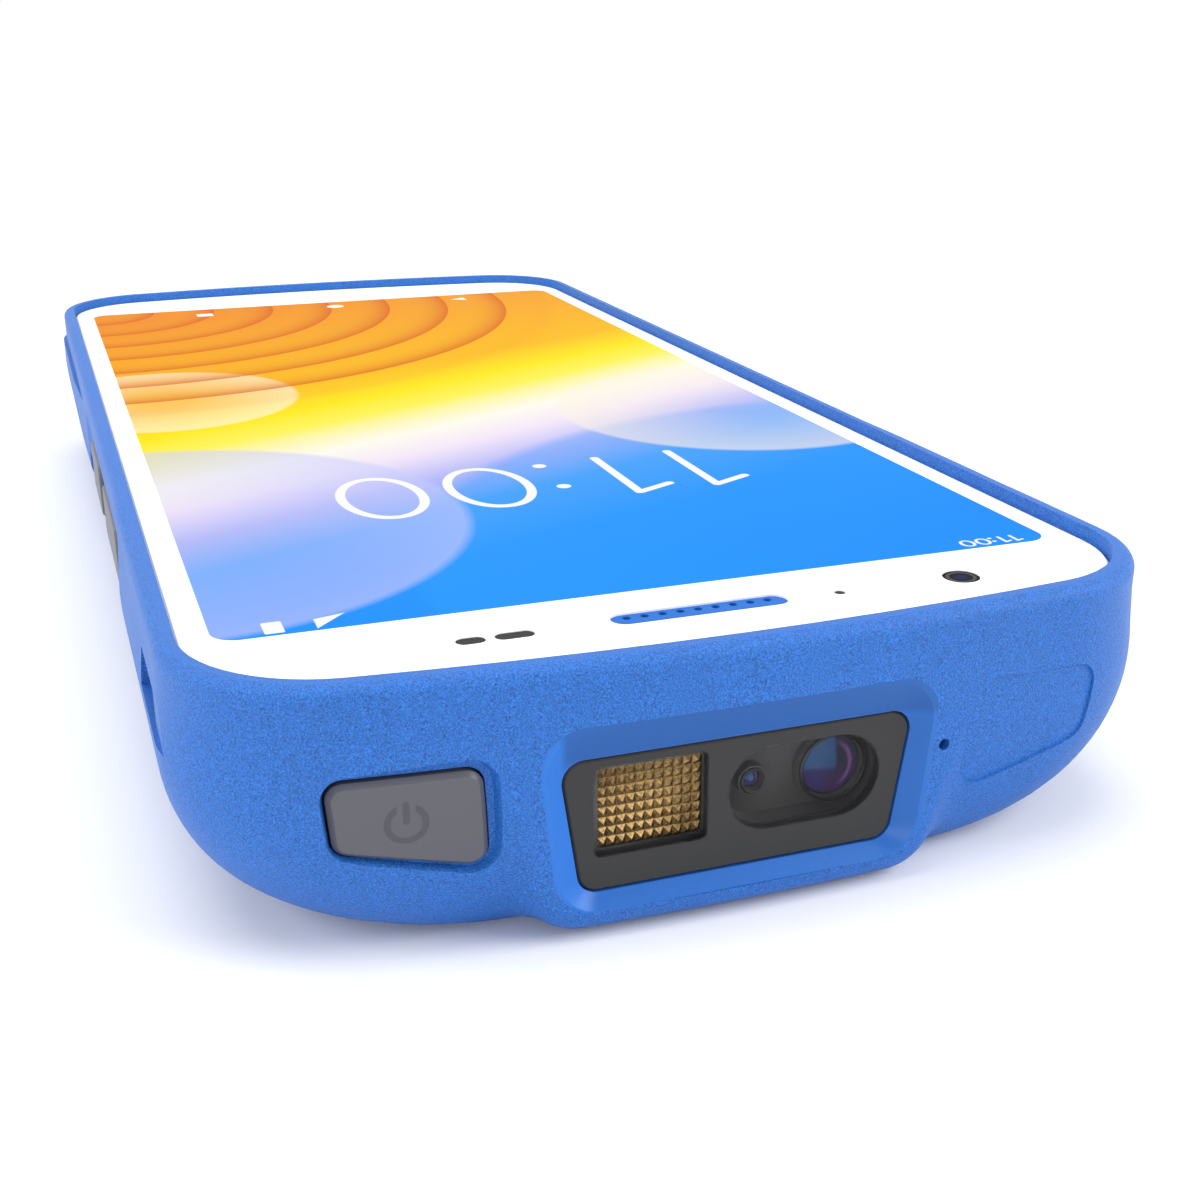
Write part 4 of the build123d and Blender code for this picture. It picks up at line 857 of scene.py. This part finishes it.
class TERMINAL_OT_small_parts(bpy.types.Operator):
    """Finish the dark, metal, board, seal and battery pieces"""

    bl_idname = "terminal.small_parts"
    bl_label = "Small parts"

    def execute(self, context):
        dress(
            smooth_plastic("dark_window", (0.026, 0.026, 0.027), 0.3, level=0.04),
            "proximity_windows", "indicator_lens",
        )
        dress(
            smooth_plastic("dark_insert", (0.030, 0.030, 0.034), 0.35),
            "earpiece_speaker", "front_camera", "power_switch", "microphones", "rear_camera",
            "usb_tongue", "loudspeaker", "flex_connectors", "battery_terminal", "speaker_mesh",
        )
        for name, node, reach, tint in (
            ("front_camera_glass", "front_camera_window", 1.42, (0.010, 0.016, 0.075)),
            ("rear_camera_glass", "rear_camera_window", 4.5, (0.016, 0.020, 0.060)),
        ):
            dress(camera_glass(name, node, reach, tint), node)
        dress(smooth_plastic("flash_diffuser", (0.80, 0.80, 0.70), 0.2), "flash_lens")
        dress(
            smooth_plastic("soft_seal", (0.020, 0.020, 0.022), 0.7),
            "cover_seal", "glass_tape", "window_gasket",
        )
        dress(
            brushed("drawn_steel", (0.56, 0.57, 0.59), 0.32),
            "housing_screws", "engine_screws", "board_screws", "right_key_switches",
            "left_key_switches", "board_shields", "usb_socket", "vibration_motor",
        )
        dress(brushed("cast_frame", (0.46, 0.47, 0.49), 0.5, "Y"), "midframe", "engine_bracket")
        board = Finish("green_board")
        x, y, z = board.axes()
        tracks = board.fade((x * 9).wave().most((y * 9).wave()), 0.55, 0.75)
        dress(board.surface({
            "Base Color": board.blend(tracks * 0.5, (0.006, 0.050, 0.022), (0.012, 0.100, 0.045)),
            "Roughness": board.fade(board.noise(3, 2), 0.3, 0.7, 0.30, 0.42),
        }), "main_board", "io_board")
        dress(
            brushed("plated_contact", (0.80, 0.58, 0.22), 0.28, "Z"),
            "nfc_antenna", "radio_antennas", "battery_contacts", "charging_contacts",
        )
        dress(smooth_plastic("wrapped_cell", (0.030, 0.032, 0.036), 0.5), "battery_pack")
        dress(
            smooth_plastic("amber_flex", (0.42, 0.17, 0.025), 0.3),
            "key_flexes", "interconnect_flex",
        )
        return {"FINISHED"}


# ---------------------------------------------------------------- stage

# The camera's right, up and back directions, and its place in metres.
CAMERA_AXES = ((0.9399, -0.3414, -0.0009), (0.1182, 0.3231, 0.9389), (-0.3202, -0.8826, 0.3441))
CAMERA_PLACE = (-0.04376, -0.17252, 0.06049)

# The floor fades into the white surroundings between these distances, in millimetres.
FLOOR_FADE = (170, 380)


def soft_light(name, place, target, size, energy):
    """A round area lamp at a place, turned to a target."""
    lamp = bpy.data.lights.new(name, "AREA")
    lamp.shape = "DISK"
    lamp.size = size
    lamp.energy = energy
    made = bpy.data.objects.new(name, lamp)
    made.location = place
    made.rotation_euler = (Vector(place) - Vector(target)).to_track_quat("Z", "Y").to_euler()
    bpy.context.scene.collection.objects.link(made)


class TERMINAL_OT_stage(bpy.types.Operator):
    """Build the pale floor, the soft lamps, the white surroundings and the camera"""

    bl_idname = "terminal.stage"
    bl_label = "Stage"

    def execute(self, context):
        settings = context.scene.terminal_stage
        mesh = bpy.data.meshes.new("floor")
        ground = bmesh.new()
        bmesh.ops.create_grid(ground, x_segments=1, y_segments=1, size=3.0)
        ground.to_mesh(mesh)
        ground.free()
        floor = bpy.data.objects.new("floor", mesh)
        context.scene.collection.objects.link(floor)
        paper = Finish("pale_paper")
        fibre = paper.noise(40, 2)
        shaded_floor = tuple(0.99 * part for part in settings.floor)
        x, y, z = paper.axes()
        mesh.materials.append(paper.surface({
            "Base Color": paper.blend(fibre, settings.floor, shaded_floor),
            "Roughness": 0.9,
            "Specular IOR Level": 0.0,
            "Alpha": paper.fade(x.reach(y), *FLOOR_FADE, 1.0, 0.0),
        }))

        world = bpy.data.worlds.new("studio")
        sky = Graph(world)
        path = sky.node("ShaderNodeLightPath", out="Is Camera Ray")
        seen = path.most(path.other("Is Glossy Ray")).most(path.other("Is Transmission Ray"))
        level = sky.fade(seen, 0, 1, settings.sky, 1.0)
        backdrop = sky.node("ShaderNodeBackground", values={"Color": (1, 1, 1), "Strength": level})
        sky.node("ShaderNodeOutputWorld", values={"Surface": backdrop})
        context.scene.world = world

        middle = (0, 0, 0.01)
        near_end = (0, -0.07, 0.01)
        soft_light("key_light", (0.55, -0.35, 0.42), middle, 0.5, settings.key_light)
        soft_light("top_light", (-0.1, 0.1, 0.8), middle, 0.8, settings.top_light)
        soft_light("front_light", (-0.38, -0.62, 0.22), near_end, 0.35, settings.front_light)
        soft_light("left_light", (-0.60, 0.05, 0.30), middle, 0.4, settings.left_light)

        lens = bpy.data.cameras.new("camera")
        lens.lens = settings.lens
        lens.sensor_width = 36
        lens.clip_start = 0.01
        lens.clip_end = 50
        camera = bpy.data.objects.new("camera", lens)
        camera.rotation_mode = "QUATERNION"
        camera.rotation_quaternion = Matrix(CAMERA_AXES).transposed().to_quaternion()
        camera.location = CAMERA_PLACE
        context.scene.collection.objects.link(camera)
        context.scene.camera = camera
        context.scene.view_settings.view_transform = "Standard"
        return {"FINISHED"}


class TERMINAL_PT_looks(bpy.types.Panel):
    """Steps and settings of the terminal's looks"""

    bl_label = "Terminal"
    bl_idname = "TERMINAL_PT_looks"
    bl_space_type = "VIEW_3D"
    bl_region_type = "UI"
    bl_category = "Terminal"

    def draw(self, context):
        layout = self.layout
        for step in STEPS:
            layout.operator(step.bl_idname)
        for name, (label, group) in GROUPS.items():
            box = layout.box()
            box.label(text=label)
            settings = getattr(context.scene, name)
            for setting in group.__annotations__:
                box.prop(settings, setting)


STEPS = (
    TERMINAL_OT_case,
    TERMINAL_OT_keys,
    TERMINAL_OT_screen,
    TERMINAL_OT_optics,
    TERMINAL_OT_lenses,
    TERMINAL_OT_socket,
    TERMINAL_OT_small_parts,
    TERMINAL_OT_stage,
)
GROUPS = {
    "terminal_case": ("Case and keys", TerminalCase),
    "terminal_screen": ("Screen", TerminalScreen),
    "terminal_optics": ("Optics", TerminalOptics),
    "terminal_stage": ("Stage", TerminalStage),
}
CLASSES = tuple(group for _, group in GROUPS.values()) + STEPS + (TERMINAL_PT_looks,)


def register():
    for item in CLASSES:
        bpy.utils.register_class(item)
    for name, (_, group) in GROUPS.items():
        setattr(bpy.types.Scene, name, PointerProperty(type=group))


def unregister():
    for name in GROUPS:
        delattr(bpy.types.Scene, name)
    for item in reversed(CLASSES):
        bpy.utils.unregister_class(item)


def corners(box):
    return [list(corner) for corner in box]


def main():
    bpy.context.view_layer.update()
    register()
    bpy.ops.terminal.case()
    bpy.ops.terminal.keys()
    bpy.ops.terminal.screen()
    bpy.ops.terminal.optics()
    bpy.ops.terminal.lenses()
    bpy.ops.terminal.socket()
    bpy.ops.terminal.small_parts()
    bpy.ops.terminal.stage()


if __name__ == "__main__":
    main()
